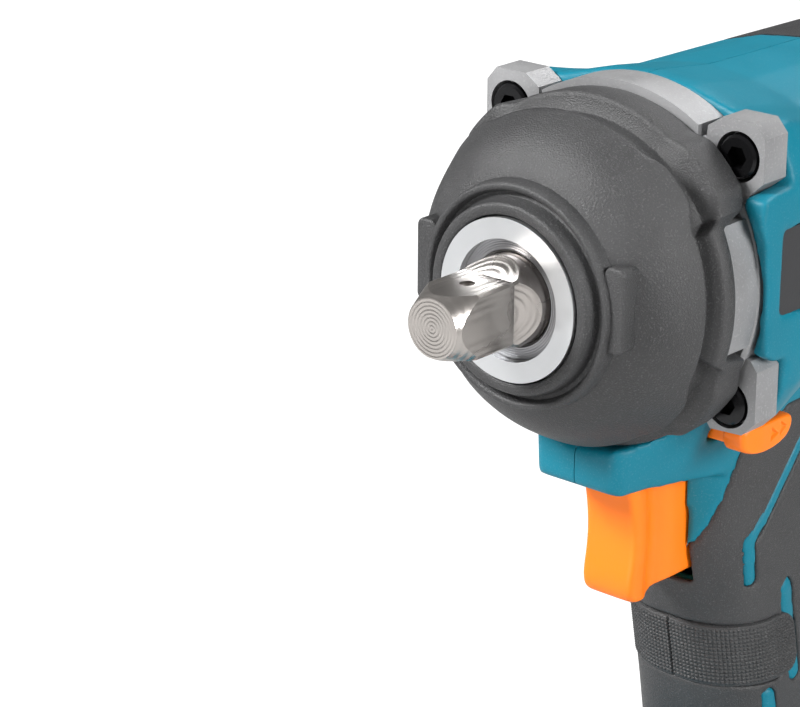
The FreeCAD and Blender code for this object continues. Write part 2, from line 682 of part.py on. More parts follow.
def make_gears():
    """Sun pinion, three planets and the ring gear, in mesh at rest."""
    module, play = value("gear_module"), value("gear_play")
    sun_teeth, planet_teeth = int(value("sun_teeth")), int(value("planet_teeth"))
    ring_teeth = sun_teeth + 2 * planet_teeth
    sun_r, planet_r, orbit = value("sun_r"), value("planet_r"), value("orbit_r")
    ring_pitch_r = value("ring_pitch_r")
    start, length = value("gear_front"), value("gear_len")
    tip, root = 0.9 * module, 1.25 * module
    up = math.pi / 2
    sun = tooth_wire(sun_teeth, sun_r - root, sun_r + tip, play, up)
    drive_feature("sun_pinion", gear_solid(
        sun, round_wire(value("pinion_seat_r")), start + 0.3, value("cover_front") - start + 3))
    for number in range(3):
        angle = up + 2 * math.pi * number / 3
        tooth = angle + math.pi + math.pi / planet_teeth
        teeth = tooth_wire(planet_teeth, planet_r - root, planet_r + tip, play, tooth)
        bore = round_wire(value("planet_pin_r") + value("run_gap"))
        planet = gear_solid(teeth, bore, start, length)
        planet.translate(Vector(orbit * math.cos(angle), 0, orbit * math.sin(angle)))
        drive_feature(f"planet_gear_{number + 1}", planet)
    spaces = tooth_wire(ring_teeth, ring_pitch_r - tip, ring_pitch_r + root, -play, up + math.pi / ring_teeth)
    drive_feature("ring_gear", gear_solid(round_wire(value("ring_r")), spaces, start, length + 1))
    pin = turned("planet_pin", rectangle("carrier_front + 0.5", "gear_rear + 2", "0", "planet_pin_r"))
    spots = [shift(orbit * math.cos(a), 0, orbit * math.sin(a))
             for a in (up + 2 * math.pi * k / 3 for k in range(3))]
    copies("planet_pins", pin, spots)


def ring(label, front, length, inner, outer):
    """A plain ring about the drive axis, such as a sealed bearing, with a shallow groove in each face."""
    middle = f"(({inner}) + ({outer})) / 2"
    body = turned(label, [
        (front, inner), (front, f"{middle} - 0.6"), (f"{front} + 0.3", f"{middle} - 0.4"),
        (f"{front} + 0.3", f"{middle} + 0.4"), (front, f"{middle} + 0.6"), (front, outer),
        (f"{front} + {length}", outer), (f"{front} + {length}", inner)])
    return node(label, body)


def make_case_cover():
    """Plate that closes the gear case and holds the spindle's bearing and the front motor bearing."""
    node("gear_case_cover", turned("gear_case_cover", [
        ("cover_front", "spindle_bearing_r"), ("cover_front", "spigot_r"),
        ("cover_front + 3", "spigot_r"), ("cover_front + 3", "spindle_bearing_r + 2"),
        ("lower_bearing + bearing_len", "spindle_bearing_r + 2"),
        ("lower_bearing + bearing_len", "motor_bearing_r"), ("lower_bearing", "motor_bearing_r"),
        ("lower_bearing", "motor_bearing_r - 1"),
        ("cover_front + bearing_len", "motor_bearing_r - 1"),
        ("cover_front + bearing_len", "spindle_bearing_r")]))
    ring("spindle_bearing", "cover_front", "bearing_len", "hub_r + run_gap", "spindle_bearing_r")
    ring("front_motor_bearing", "lower_bearing", "bearing_len", "rotor_shaft_r + run_gap", "motor_bearing_r")
    ring("rear_motor_bearing", "rear_bearing_front", "bearing_len", "rotor_shaft_r + run_gap", "motor_bearing_r")


# ---------------------------------------------------------------- motor

def make_stator():
    """Laminated core with six teeth, a coil round each tooth, and the sensor board in front."""
    core = turned("stator_core", rectangle("stator_front", "stator_rear", "stator_r - 4", "stator_r"))
    tooth = pad(core, "XZ", rectangle("-3.5", "3.5", "stator_bore_r", "stator_r - 3"),
                "stator_front", "stator_len")
    around(core, tooth, 6)
    node("stator_core", core)
    coil = new_body("coil")
    pad(coil, "XY", rectangle("-5.4", "5.4", "stator_front - 2.2", "stator_rear + 2.2"),
        "stator_bore_r + 1", "stator_r - stator_bore_r - 6.2")
    pocket(coil, "XY", rectangle("-3.6", "3.6", "stator_front - 0.1", "stator_rear + 0.1"),
           "stator_bore_r", "stator_r - stator_bore_r")
    copies("stator_coils", coil, [about_axis(60 * k) for k in range(6)])
    ring("sensor_board", "stator_front - 4.2", "1.6", "motor_bearing_r + 1", "stator_r - 3")


def make_rotor():
    """Shaft, core with four magnet slots, the magnets, and the cooling fan."""
    node("rotor_shaft", turned("rotor_shaft", [
        ("gear_front + 0.3", "0"), ("gear_front + 0.3", "pinion_seat_r"),
        ("cover_front + 3.6", "pinion_seat_r"), ("cover_front + 3.6", "rotor_shaft_r"),
        ("shaft_rear", "rotor_shaft_r"), ("shaft_rear", "0")]))
    core = turned("rotor_core", rectangle("stator_front", "stator_rear", "rotor_shaft_r", "rotor_r"))
    slot = pocket(core, "XZ", rectangle("-6", "6", "rotor_r - 4.4", "rotor_r - 2.4"),
                  "stator_front - 1", "stator_len + 2")
    around(core, slot, 4)
    node("rotor_core", core)
    magnet = new_body("magnet")
    pad(magnet, "XZ", rectangle("-6", "6", "rotor_r - 4.4", "rotor_r - 2.4"), "stator_front", "stator_len")
    copies("rotor_magnets", magnet, [about_axis(90 * k) for k in range(4)])
    fan = turned("cooling_fan", [
        ("fan_front", "rotor_shaft_r"), ("fan_front", "rotor_shaft_r + 4"),
        ("fan_front + fan_len - 1.5", "rotor_shaft_r + 5"), ("fan_front + fan_len - 1.5", "fan_r"),
        ("fan_front + fan_len", "fan_r"), ("fan_front + fan_len", "rotor_shaft_r")])
    blade = pad(fan, "XZ", [
        ("-1", "rotor_shaft_r + 3"), ("1", "rotor_shaft_r + 3"), ("4.5", "fan_r - 1"), ("3", "fan_r - 1")],
        "fan_front", "fan_len - 1")
    around(fan, blade, 9)
    node("cooling_fan", fan)


# ---------------------------------------------------------------- housing

def collar_section():
    """Right side of the head's front, with ears behind the gear case's corner bosses."""
    return [("0", "head_top"), ("ridge_x / 2", "head_top - 1"), ("ridge_x", "head_top - 4"),
            ("boss_x - 2.8", "head_top - 4.6"), ("head_half - 1.2", "22.5"), ("head_half", "18"),
            ("head_half", "-14"), ("head_half - 0.8", "-21"), ("31", "-boss_down + 0.4"),
            ("19", "-30.2"), ("0", "-34.5")]


def body_section(drop, share):
    """Right side of the head behind its collar; drop lowers the top, share scales the whole."""
    points = [("0", f"head_top - {drop}"), ("ridge_x / 2", f"head_top - 1.2 - {drop}"),
              ("ridge_x - 0.8", f"head_top - 4 - {drop}"), ("26", f"head_top - 6.6 - {drop}"),
              ("head_half - 1.6", "20.6"), ("head_half", "18"), ("head_half", "-14"),
              ("head_half - 2.4", "-18"), ("27", "-26.4"), ("18", "-30.4"), ("0", "-34")]
    return [(x if x == "0" else f"({x}) * {share}", f"({z}) * {share}") for x, z in points]


REAR_STEP = ("head_rear - 14", body_section("head_drop - 1", "0.995"))
REAR_END = ("head_rear", body_section("head_drop", "0.86"))


def make_head_outside():
    """Head from the gear case flange to the rear, with ears behind the corner bosses."""
    sections = [
        ("housing_front", collar_section()), ("housing_front + 4", collar_section()),
        ("housing_front + 21", body_section("head_drop", "1")), REAR_STEP, REAR_END]
    return lofted("head_outside", "XZ", [(place, mirrored_points(half)) for place, half in sections])


def make_neck():
    """Chin under the nose and the neck that flares from the handle into the head."""
    def section(top_half, middle_half, middle, low_half, low):
        return mirrored_points([(top_half, "-12"), (middle_half, middle), (low_half, low)])
    return lofted("neck", "XZ", [
        ("chin_front", section("chin_half - 2", "chin_half - 2", "-34", "chin_half - 3", "-chin_drop + 1")),
        ("chin_front + 2", section("chin_half", "chin_half - 0.4", "-34", "chin_half - 0.9", "-chin_drop")),
        ("chin_front + 8", section("chin_half + 5", "chin_half + 2.5", "-33", "chin_half", "-chin_drop")),
        ("housing_front - 1", section("31", "20.2", "-27.5", "chin_half + 1.5", "-chin_drop - 1")),
        ("housing_front + 27", section("32", "19.4", "-27.5", "grip_half - 0.6", "-chin_drop - 5")),
        ("housing_front + 58", section("28", "19", "-30", "11", "-chin_drop + 4"))])


def grip_sections(inset, levels):
    """Handle sections at several drops below the drive axis, all drawn in by inset."""
    inset = f"({inset})"
    sections = []
    for drop, front_shift, depth_change, half_change in levels:
        front = f"grip_front + rake * ({drop} - grip_level) + {front_shift} + {inset}"
        rear = f"grip_front + rake * ({drop} - grip_level) + grip_depth + {depth_change} - {inset}"
        half = f"grip_half + {half_change} - {inset}"
        sections.append((f"-({drop})", rounded(front, rear, half, f"{half} - 2.5")))
    return sections


GRIP_LEVELS = [
    ("26", "1", "2", "2"), ("grip_level - 38", "2", "3", "1"), ("grip_level - 20", "-1", "2", "0.6"),
    ("grip_level", "0", "0", "0"), ("grip_level + 22", "0", "-1", "0.4"),
    ("-foot_top - 4", "0", "2", "2")]


def make_foot_outside():
    """Foot that spreads from the handle to the battery's plan, and its rim."""
    plan = ("foot_front", "foot_rear", "base_half - 0.5", "12")
    return lofted("foot_outside", "XY", [
        ("foot_top + 12", rounded("foot_front + 34", "foot_rear - 26", "grip_half + 1.5", "12")),
        ("foot_top", rounded("foot_front + 3", "foot_rear - 3", "base_half - 5", "12")),
        ("foot_top - 4", rounded(*plan)), ("foot_bottom", rounded(*plan))])


def make_cheeks():
    """Flat cheeks that reach forward over the gear case flange on both sides."""
    cheeks = new_body("cheeks")
    pad(cheeks, "YZ", [
        ("cheek_front + 1.5", "-12"), ("cheek_front", "11"), ("cheek_front - 1.5", "14"),
        ("cheek_front - 1", "19.5"), ("cheek_front + 6", "20.5"), ("housing_front + 1", "20.5"),
        ("housing_front + 1", "-14"), ("cheek_front + 5", "-14")], *both_ways("head_half"))
    return cheeks


def vent_outline(late, inset):
    """A side vent's outline, starting late behind its front and drawn in by inset."""
    return [(f"vent_front + {late} + {inset}", f"-vent_bottom + {inset}"),
            (f"vent_front + vent_len - {inset}", f"-vent_bottom + {inset}"),
            (f"vent_front + vent_len - {inset}", f"vent_top - {inset}"),
            (f"vent_front + {late} + {inset}", f"vent_top - {inset}")]


def side_layer(body, points, inner, outer, side):
    """A pad between two distances from the middle plane, on one side."""
    pad(body, "YZ", points, inner if side > 0 else f"-({outer})", f"({outer}) - ({inner})")


def make_cavities():
    """Everything that is cut out of the housing, as bodies."""
    head = turned("head_cavity", [
        ("housing_front - 1", "0"), ("housing_front - 1", "spigot_r + 0.1"),
        ("stator_front - 5.5", "spigot_r + 0.1"), ("stator_front - 5.5", "stator_r"),
        ("stator_rear + 4", "stator_r"), ("stator_rear + 4", "fan_r + 1.5"),
        ("rear_bearing_front", "fan_r + 1.5"), ("rear_bearing_front", "motor_bearing_r"),
        ("shaft_rear + 0.5", "motor_bearing_r"), ("shaft_rear + 0.5", "0")])
    nose = turned("nose_cavity", [
        ("bumper_front", "0"), ("bumper_front", "band_r + 0.6"), ("flange_front", "band_r + 0.6"),
        ("flange_front", "flange_r + 0.3"), ("housing_front", "flange_r + 0.3"), ("housing_front", "0")])
    cutters = [head, nose]
    for name, side in (("up", BOSS_UP), ("down", BOSS_DOWN)):
        grown = [(f"({x}) * 1.012", f"({z}) * 1.012") for x, z in side]
        for hand, points in (("right", grown), ("left", flipped(grown))):
            boss = new_body(f"boss_space_{name}_{hand}")
            pad(boss, "XZ", points, "flange_front - 1", "housing_front - flange_front + 1")
            cutters.append(boss)
    for x, z in BOLTS:
        hole = new_body("case_screw_hole")
        pad(hole, "XZ", circle(x, z, "bolt_shank_r"), "flange_front", "bolt_len + 6")
        cutters.append(hole)
    cutters.append(lofted("grip_cavity", "XY", grip_sections("skin + wall", GRIP_LEVELS)))
    trigger_half = "trigger_half + free_gap"
    cutters.append(block("trigger_slot", f"-({trigger_half})", trigger_half, "chin_front + 8",
                         "switch_front - 0.5", "-trigger_bottom - 0.4", "-trigger_top + 0.3"))
    cutters.append(block("lever_hole", "-lever_in", "lever_in", "66 - free_gap", "74 + free_gap",
                         "-37 - free_gap", "-33.5 + free_gap"))
    vents = new_body("vent_recess")
    for side in (1, -1):
        side_layer(vents, vent_outline("0", "0"), "head_half - 1.1", "head_half + 1", side)
        side_layer(vents, vent_outline("vent_step", "0"), "head_half - vent_depth", "head_half", side)
    cutters.append(vents)
    rail = new_body("rail_cavity")
    gap = "free_gap"
    pad(rail, "XZ", mirrored_points([
        (f"rail_neck_half + {gap}", "foot_bottom - 1"), (f"rail_neck_half + {gap}", f"deck + rail_neck - {gap}"),
        (f"rail_half + {gap}", f"deck + rail_neck - {gap}"), (f"rail_half + {gap}", f"deck + rail_top + {gap}")]),
        "foot_front - 1", "base_len - 12")
    cutters.append(rail)
    return cutters


STRIPES = [
    [("98.3", "-44.1"), ("100.6", "-45.6"), ("84", "-65.2"), ("86", "-75"), ("83.2", "-75.6"),
     ("81", "-64.4")],
    [("94.4", "-79"), ("96.6", "-76.6"), ("98.6", "-79"), ("103.2", "-101.4"), ("101.6", "-103"),
     ("99.4", "-101.8")],
    [("90.6", "-102.4"), ("93", "-101.6"), ("94.4", "-103.4"), ("97.6", "-119"), ("95.4", "-120.4"),
     ("93.6", "-119")]]
SKIN_REGION = [
    ("150", "-36"), ("92", "-36"), ("79", "-43"), ("75.8", "-57.1"), ("69", "-80"),
    ("69", "foot_top + 6"), ("150", "foot_top + 6")]
PATCH_REGION = [
    ("66", "-grip_level"), ("94", "-grip_level - 1"), ("97", "-grip_level - 4"),
    ("98", "-grip_level - patch_height + 4"), ("95.5", "-grip_level - patch_height + 0.6"),
    ("66", "-grip_level - patch_height + 2")]


def across(name, points, half="60"):
    """A solid that carries a side outline right across the object."""
    body = new_body(name)
    pad(body, "YZ", points, *both_ways(half))
    return body


def make_housing():
    """Both housing halves, and the rubber skins that lie flush in them."""
    outside = combine("Fuse", "housing_outside", make_head_outside(), [
        make_neck(), lofted("grip_outside", "XY", grip_sections("0", GRIP_LEVELS)),
        make_foot_outside(), make_cheeks()])
    grip_outer = lofted("grip_skin_outside", "XY", grip_sections("0", GRIP_LEVELS))
    grip_core = lofted("grip_core", "XY", grip_sections("skin", GRIP_LEVELS))
    shell = combine("Cut", "grip_shell", grip_outer, [grip_core])
    patch_space = across("patch_space", PATCH_REGION)
    stripes = [across(f"stripe_{k + 1}", points) for k, points in enumerate(STRIPES)]
    skin_space = across("skin_space", SKIN_REGION)
    rear_space = across("rear_space", [
        ("117", "40"), ("122", "14"), ("head_rear - 16", "2"), ("head_rear - 12", "-20"),
        ("head_rear + 3", "-20"), ("head_rear + 3", "40")])
    rear_core = lofted("rear_core", "XZ", [
        (f"{place} - {back}", shrunk(half)) for back, (place, half) in (
            ("60", ("head_rear", body_section("head_drop", "1"))), ("0.5", REAR_STEP), ("skin", REAR_END))])
    rear_space_shell = combine("Cut", "rear_shell_space", rear_space, [rear_core])
    cutters = make_cavities()
    trigger_slot = next(item for item in cutters if item.Name.startswith("trigger_slot"))
    skin_zone = combine("Cut", "skin_zone", skin_space, stripes + [patch_space])
    skin_all = combine("Common", "skin_all", shell, [skin_zone])
    skin = combine("Cut", "grip_overmold", skin_all, [trigger_slot, cutters[0]])
    patch = combine("Common", "grip_patch", shell, [patch_space])
    rear = combine("Common", "rear_overmold", outside, [rear_space_shell])
    node("grip_overmold", skin)
    node("grip_patch", patch)
    node("rear_overmold", rear)
    whole = combine("Cut", "housing_whole", outside, cutters + [skin, patch, rear])
    for label, left, right in (("housing_left", "-60", "0"), ("housing_right", "0", "60")):
        half_space = block(f"{label}_space", left, right, "0", "foot_rear + 20", "-170", "60")
        half = combine("Common", f"{label}_blank", whole, [half_space])
        holes = housing_screw_holes(label)
        node(label, combine("Cut", f"{label}_drilled", half, holes))


def shrunk(points):
    """A head section drawn in by the skin's thickness towards the drive axis."""
    share = "(1 - skin / 36)"
    return mirrored_points([(f"({x}) * {share}" if x != "0" else "0", f"({z}) * {share}") for x, z in points])


HOUSING_SCREWS = [
    ("55", "-40.5"), ("118", "-34.5"), ("66", "foot_bottom + 14"), ("153", "foot_bottom + 13.5"),
    ("head_rear - 6", "-24.2")]


def housing_screw_holes(label):
    """Counterbores in the left half, and pilot holes for the screws in both."""
    holes = []
    for number, (station, height) in enumerate(HOUSING_SCREWS):
        shank = new_body(f"{label}_pilot_{number}")
        pad(shank, "YZ", circle(station, height, "1.5"), "-10", "18")
        holes.append(shank)
        if label == "housing_left":
            head = new_body(f"{label}_counterbore_{number}")
            pad(head, "YZ", circle(station, height, "3.1"), "-50", "40.5")
            holes.append(head)
    return holes


def make_housing_screws():
    """Five screws that join the halves, put in from the left."""
    screw = new_body("housing_screw")
    pad(screw, "YZ", circle("0", "0", "1.5"), "-9.8", "17.5")
    pad(screw, "YZ", circle("0", "0", "2.9"), "-12", "2.4")
    pocket(screw, "YZ", [(f"1.4 * cos({60 * k})", f"1.4 * sin({60 * k})") for k in range(6)], "-12.1", "1.6")
    spots = [shift(0, value(station), value(height)) for station, height in HOUSING_SCREWS]
    copies("housing_screws", screw, spots)


def make_vents():
    """Dark side grilles with raised slanting bars, one in each cheek."""
    for label, side in (("side_vent_right", 1), ("side_vent_left", -1)):
        body = new_body(label)
        side_layer(body, vent_outline("vent_step", "seam"), "head_half - vent_depth", "head_half - 0.8", side)
        side_layer(body, vent_outline("0", "seam"), "head_half - 1", "head_half - 0.5", side)
        for bar in range(5):
            at = f"vent_front + 10 + vent_len * {bar} / 8"
            points = [(at, "-vent_bottom + 2"), (f"{at} + 2.2", "-vent_bottom + 2"),
                      (f"{at} + 5.6", "vent_top - 2"), (f"{at} + 3.4", "vent_top - 2")]
            side_layer(body, points, "head_half - 1", "head_half", side)
        node(label, body)


# ---------------------------------------------------------------- controls

def make_trigger():
    """Trigger with a waisted front, flared sides, a guided block and a stem into the switch."""
    body = new_body("trigger")
    front = "trigger_front"
    pad(body, "YZ", [
        (f"{front} - 1.6", "-trigger_top"), (f"{front} + 0.5", "-trigger_top - 12", "26"),
        (f"{front} - 0.4", "-trigger_bottom + 6"), (f"{front} + 0.4", "-trigger_bottom + 2.4"),
        (f"{front} + 3", "-trigger_bottom"), (f"{front} + 7", "-trigger_bottom + 0.3"),
        (f"{front} + 12.5", "-trigger_bottom + 2.6"), (f"{front} + 27", "-trigger_bottom + 2.6"),
        (f"{front} + 27", "-trigger_top")], *both_ways("trigger_half"))
    for left, right in (("trigger_half - 2.2", "trigger_half + 1"), ("-trigger_half - 1", "-trigger_half + 2.2")):
        pocket(body, "XY", [
            (left, f"{front} + 3.5"), (left, f"{front} - 4"), (right, f"{front} - 4"),
            (right, f"{front} + 3.5")], "-trigger_bottom - 1", "40")
    pad(body, "XZ", circle("0", "-trigger_top - 16", "2.5"), f"{front} + 26", "16")
    return node("trigger", body)


def make_switch():
    """Switch body behind the trigger, bored for the trigger's stem, and the control module below it."""
    switch = block("switch_body", "-10.6", "10.6", "switch_front + 1", "switch_front + 17",
                   "-trigger_bottom + 1", "-trigger_top - 9.6")
    pocket(switch, "XZ", circle("0", "-trigger_top - 16", "2.5 + free_gap"), "switch_front - 1", "13")
    node("switch_body", switch)
    node("control_module", block("control_module", "-11", "11", "96", "122", "foot_top + 7", "foot_top + 15"))


def make_lever():
    """Forward and reverse lever: one bar through the housing with a paddle at each end."""
    body = new_body("direction_lever")
    pad(body, "YZ", rectangle("66", "74", "-37", "-33.5"), *both_ways("lever_in + 1"))
    paddle = [("61.7", "-32.4"), ("62.8", "-31"), ("75.6", "-31"), ("77.6", "-32"), ("78.2", "-33.6"),
              ("76.6", "-36"), ("69", "-37.4"), ("62.2", "-36")]
    pad(body, "YZ", paddle, "lever_in", "lever_out - lever_in")
    pad(body, "YZ", paddle, "-lever_out", "lever_out - lever_in")
    return node("direction_lever", body)


# ---------------------------------------------------------------- battery

def battery_plan(inset):
    """The battery's plan, drawn in by inset, in the row frame."""
    half_len = f"base_len / 2 - {inset}"
    return rounded(f"-({half_len})", half_len, f"base_half - {inset}", f"11 - {inset}")


def make_battery():
    """Two-part case with a rail on its deck, cells, circuit board, latch and case screws."""
    lower = lofted("battery_lower_case", "XY", [
        ("0", battery_plan("2")), ("2", battery_plan("0.01")),
        ("battery_split - seam / 2", battery_plan("0.01"))], False)
    pocket(lower, "XY", battery_plan("3"), "3", "battery_split")
    upper = lofted("battery_upper_case", "XY", [
        ("battery_split + seam / 2", battery_plan("0.01")), ("battery_top - 3", battery_plan("0.01")),
        ("battery_top", battery_plan("3"))], False)
    pocket(upper, "XY", battery_plan("3"), "battery_split - 1", "battery_top - battery_split - 3")
    pocket(upper, "XY", rectangle("-latch_half - free_gap", "latch_half + free_gap",
           "-base_len / 2 - 1", "-base_len / 2 + 4.5"), "battery_split - 1", "19")
    pad(upper, "XY", rectangle("-latch_half - 3", "latch_half + 3", "-base_len / 2 + 4.5",
               "-base_len / 2 + 6.5"), "battery_split + 1", "battery_top - battery_split - 2")
    rail = mirrored_points([
        ("rail_neck_half", "battery_top - 1"), ("rail_neck_half", "battery_top + rail_neck"),
        ("rail_half", "battery_top + rail_neck"), ("rail_half", "battery_top + rail_top")])
    pad(upper, "XZ", rail, "-base_len / 2 + 9", "base_len - 39")
    for x in BLADES:
        pocket(upper, "XY", rectangle(f"{x} - 1", f"{x} + 1", "base_len / 2 - 44", "base_len / 2 - 29"),
               "battery_top + 2", "rail_top")
    node("battery_lower_case", lower)
    node("battery_upper_case", upper)
    cell = new_body("cell", False)
    pad(cell, "YZ", circle("0", "3.6 + cell_r", "cell_r"), *both_ways("cell_len / 2"))
    pad(cell, "YZ", circle("0", "3.6 + cell_r", "3"), "cell_len / 2", "0.6")
    count = int(value("cell_count"))
    places = [shift(0, (k - (count - 1) / 2) * value("cell_pitch"), 0) for k in range(count)]
    copies("battery_cells", cell, places)
    node("battery_board", block("battery_board", "-24", "24", "-40", "45", "battery_top - 12",
                                "battery_top - 10.4", False))
    latch = new_body("battery_latch", False)
    pad(latch, "YZ", [
        ("-base_len / 2 - 1.2", "battery_split + 5"), ("-base_len / 2 + 4", "battery_split + 5"),
        ("-base_len / 2 + 4", "battery_split + 17.4"), ("-base_len / 2", "battery_split + 17.4"),
        ("-base_len / 2 - 2", "battery_split + 14")], *both_ways("latch_half"))
    node("battery_latch", latch)


BLADES = ["-12", "0", "12"]


def make_terminals():
    """Terminal block of the tool, with three blades that enter the battery's slots."""
    bottom = "deck + rail_neck + 0.4"
    node("terminal_block", block("terminal_block", "-rail_half + 4", "rail_half - 4", "foot_rear - 28.5",
                                 "foot_rear - 14", bottom, "deck + rail_top + free_gap"))
    blade = new_body("blade")
    pad(blade, "YZ", rectangle("foot_rear - 40", "foot_rear - 28.5", "deck + 4", "deck + rail_top - 1.4"),
        "-0.4", "0.8")
    copies("terminal_blades", blade, [shift(value(x), 0, 0) for x in BLADES])


def check_and_write():
    """Stops on any failed feature or bad solid, then writes one STEP file for each sub-part."""
    doc.recompute()
    broken = [thing.Name for thing in doc.Objects if {"Invalid", "Error"} & set(thing.State)]
    idle = [thing.Name for thing in doc.Objects
            if thing.TypeId in ("PartDesign::Pocket", "PartDesign::Groove")
            and thing.BaseFeature.Shape.Volume - thing.Shape.Volume < 0.01]
    bad = [thing.Label for thing in NODES if thing.Shape.isNull() or not thing.Shape.isValid()]
    if broken or idle or bad:
        raise SystemExit(f"failed features {broken}, cuts that cut nothing {idle}, bad shapes {bad}")
    os.makedirs("parts", exist_ok=True)
    for thing in NODES:
        thing.Shape.exportStep(f"parts/{thing.Label}.step")
        print(thing.Label, len(thing.Shape.Solids), round(thing.Shape.Volume))


make_anvil()
make_nose_rings()
make_bumper()
make_gear_case()
make_case_screws()
make_hammer()
make_cam_balls()
make_spring()
make_spindle()
make_gears()
make_case_cover()
make_stator()
make_rotor()
make_housing()
make_housing_screws()
make_vents()
make_trigger()
make_switch()
make_lever()
make_battery()
make_terminals()
check_and_write()
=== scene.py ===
# %% [markdown]
# # A half-inch cordless impact wrench
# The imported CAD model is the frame: it says where every piece is and what it moves with. This lesson
# puts a finished surface over it. Shapes are worked out with numpy, finishes are procedural nodes.
# All lengths below are in millimetres in the drive frame, which starts at the anvil's tip: x to the
# right, s back along the drive axis, z up from the axis. One function turns them into metres.

import json
import math

import bmesh
import bpy
import numpy as np
from mathutils import Matrix, Vector


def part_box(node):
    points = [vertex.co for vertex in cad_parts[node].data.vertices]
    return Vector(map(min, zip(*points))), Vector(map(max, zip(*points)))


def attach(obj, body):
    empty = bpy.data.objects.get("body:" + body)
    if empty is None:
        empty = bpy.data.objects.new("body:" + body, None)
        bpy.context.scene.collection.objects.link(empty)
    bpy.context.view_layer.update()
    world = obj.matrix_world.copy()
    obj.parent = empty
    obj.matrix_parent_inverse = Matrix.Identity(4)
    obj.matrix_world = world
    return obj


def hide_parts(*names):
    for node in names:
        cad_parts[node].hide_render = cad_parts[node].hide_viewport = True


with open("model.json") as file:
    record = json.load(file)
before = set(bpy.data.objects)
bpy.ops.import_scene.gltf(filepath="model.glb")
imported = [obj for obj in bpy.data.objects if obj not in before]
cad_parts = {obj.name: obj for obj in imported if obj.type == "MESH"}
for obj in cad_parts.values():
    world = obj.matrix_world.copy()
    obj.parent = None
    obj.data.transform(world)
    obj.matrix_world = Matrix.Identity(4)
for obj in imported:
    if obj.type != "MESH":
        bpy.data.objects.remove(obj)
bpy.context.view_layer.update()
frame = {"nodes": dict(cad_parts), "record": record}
nodes = frame["nodes"]

# %% [markdown]
# The anvil gives the drive frame: its lowest y is the tip, and its middle height is the drive axis.

# %% Drive frame
anvil_low, anvil_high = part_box("anvil")
TIP = np.array([0.0, anvil_low[1], (anvil_low[2] + anvil_high[2]) / 2])
MM = 0.001


def place(x, s, z):
    """Drive frame millimetres to row frame metres, as one array of points."""
    x, s, z = np.broadcast_arrays(x, s, z)
    return np.stack([x, s, z], axis=-1) * MM + TIP


print("drive frame origin:", TIP)

# %% [markdown]
# ## Camera, light and floor
# The camera stands in front of the nose, to the right and a little above, with a long lens, so the
# drive square comes towards the viewer and the handle runs out of the bottom of the frame.
# The light is a soft studio: a pale world, a key from the left, a side light, a rim and a low nose light.

# %% Camera
AZIMUTH, ELEVATION, ROLL = (math.radians(a) for a in (41.3, 19.94, 0.31))
SENSOR_MM, LENS_MM = 36, 135
TIP_DISTANCE = 0.552
TIP_RIGHT, TIP_UP = 0.01068, 0.00828

back = np.array([math.sin(AZIMUTH) * math.cos(ELEVATION),
                 -math.cos(AZIMUTH) * math.cos(ELEVATION), math.sin(ELEVATION)])
level = np.array([math.cos(AZIMUTH), math.sin(AZIMUTH), 0.0])
rise = np.cross(back, level)
right = math.cos(ROLL) * level + math.sin(ROLL) * rise
up = -math.sin(ROLL) * level + math.cos(ROLL) * rise
eye = TIP + TIP_DISTANCE * (back - TIP_RIGHT * right - TIP_UP * up)

lens = bpy.data.cameras.new("camera")
lens.sensor_width = SENSOR_MM
lens.lens = LENS_MM
camera = bpy.data.objects.new("camera", lens)
camera.matrix_world = Matrix([[right[i], up[i], back[i], eye[i]] for i in range(3)]
                             + [[0, 0, 0, 1]])
bpy.context.scene.collection.objects.link(camera)
bpy.context.scene.camera = camera


# %% Lights and floor
def area_light(name, spot, size, power, target=(0.0, -0.04, 0.19)):
    """A square soft light at spot, aimed at the head."""
    light = bpy.data.lights.new(name, "AREA")
    light.size, light.energy = size, power
    lamp = bpy.data.objects.new(name, light)
    lamp.location = spot
    lamp.rotation_euler = (Vector(target) - Vector(spot)).to_track_quat("-Z", "Y").to_euler()
    bpy.context.scene.collection.objects.link(lamp)


area_light("key_light", (-0.50, -0.70, 0.80), 0.30, 19)
area_light("side_light", (0.85, -0.05, 0.50), 0.35, 9)
area_light("rim_light", (0.05, 0.55, 0.95), 0.35, 5)
area_light("nose_light", (0.10, -0.95, 0.12), 0.30, 2.2)

AMBIENT = 0.22
world = bpy.data.worlds.new("studio")
world.use_nodes = True
studio = world.node_tree
ambient = studio.nodes["Background"]
ambient.inputs["Color"].default_value = (1, 1, 1, 1)
ambient.inputs["Strength"].default_value = AMBIENT
bpy.context.scene.world = world
bpy.context.scene.view_settings.view_transform = "Standard"

backdrop_mesh = bpy.data.meshes.new("backdrop")
backdrop_mesh.from_pydata([(-9, 5, -1), (9, 5, -1), (9, 5, 8), (-9, 5, 8)], [], [(0, 1, 2, 3)])
backdrop = bpy.data.objects.new("backdrop", backdrop_mesh)
bpy.context.scene.collection.objects.link(backdrop)


PAPER_ROUGHNESS, PAPER_SHARE = 0.95, 0.9


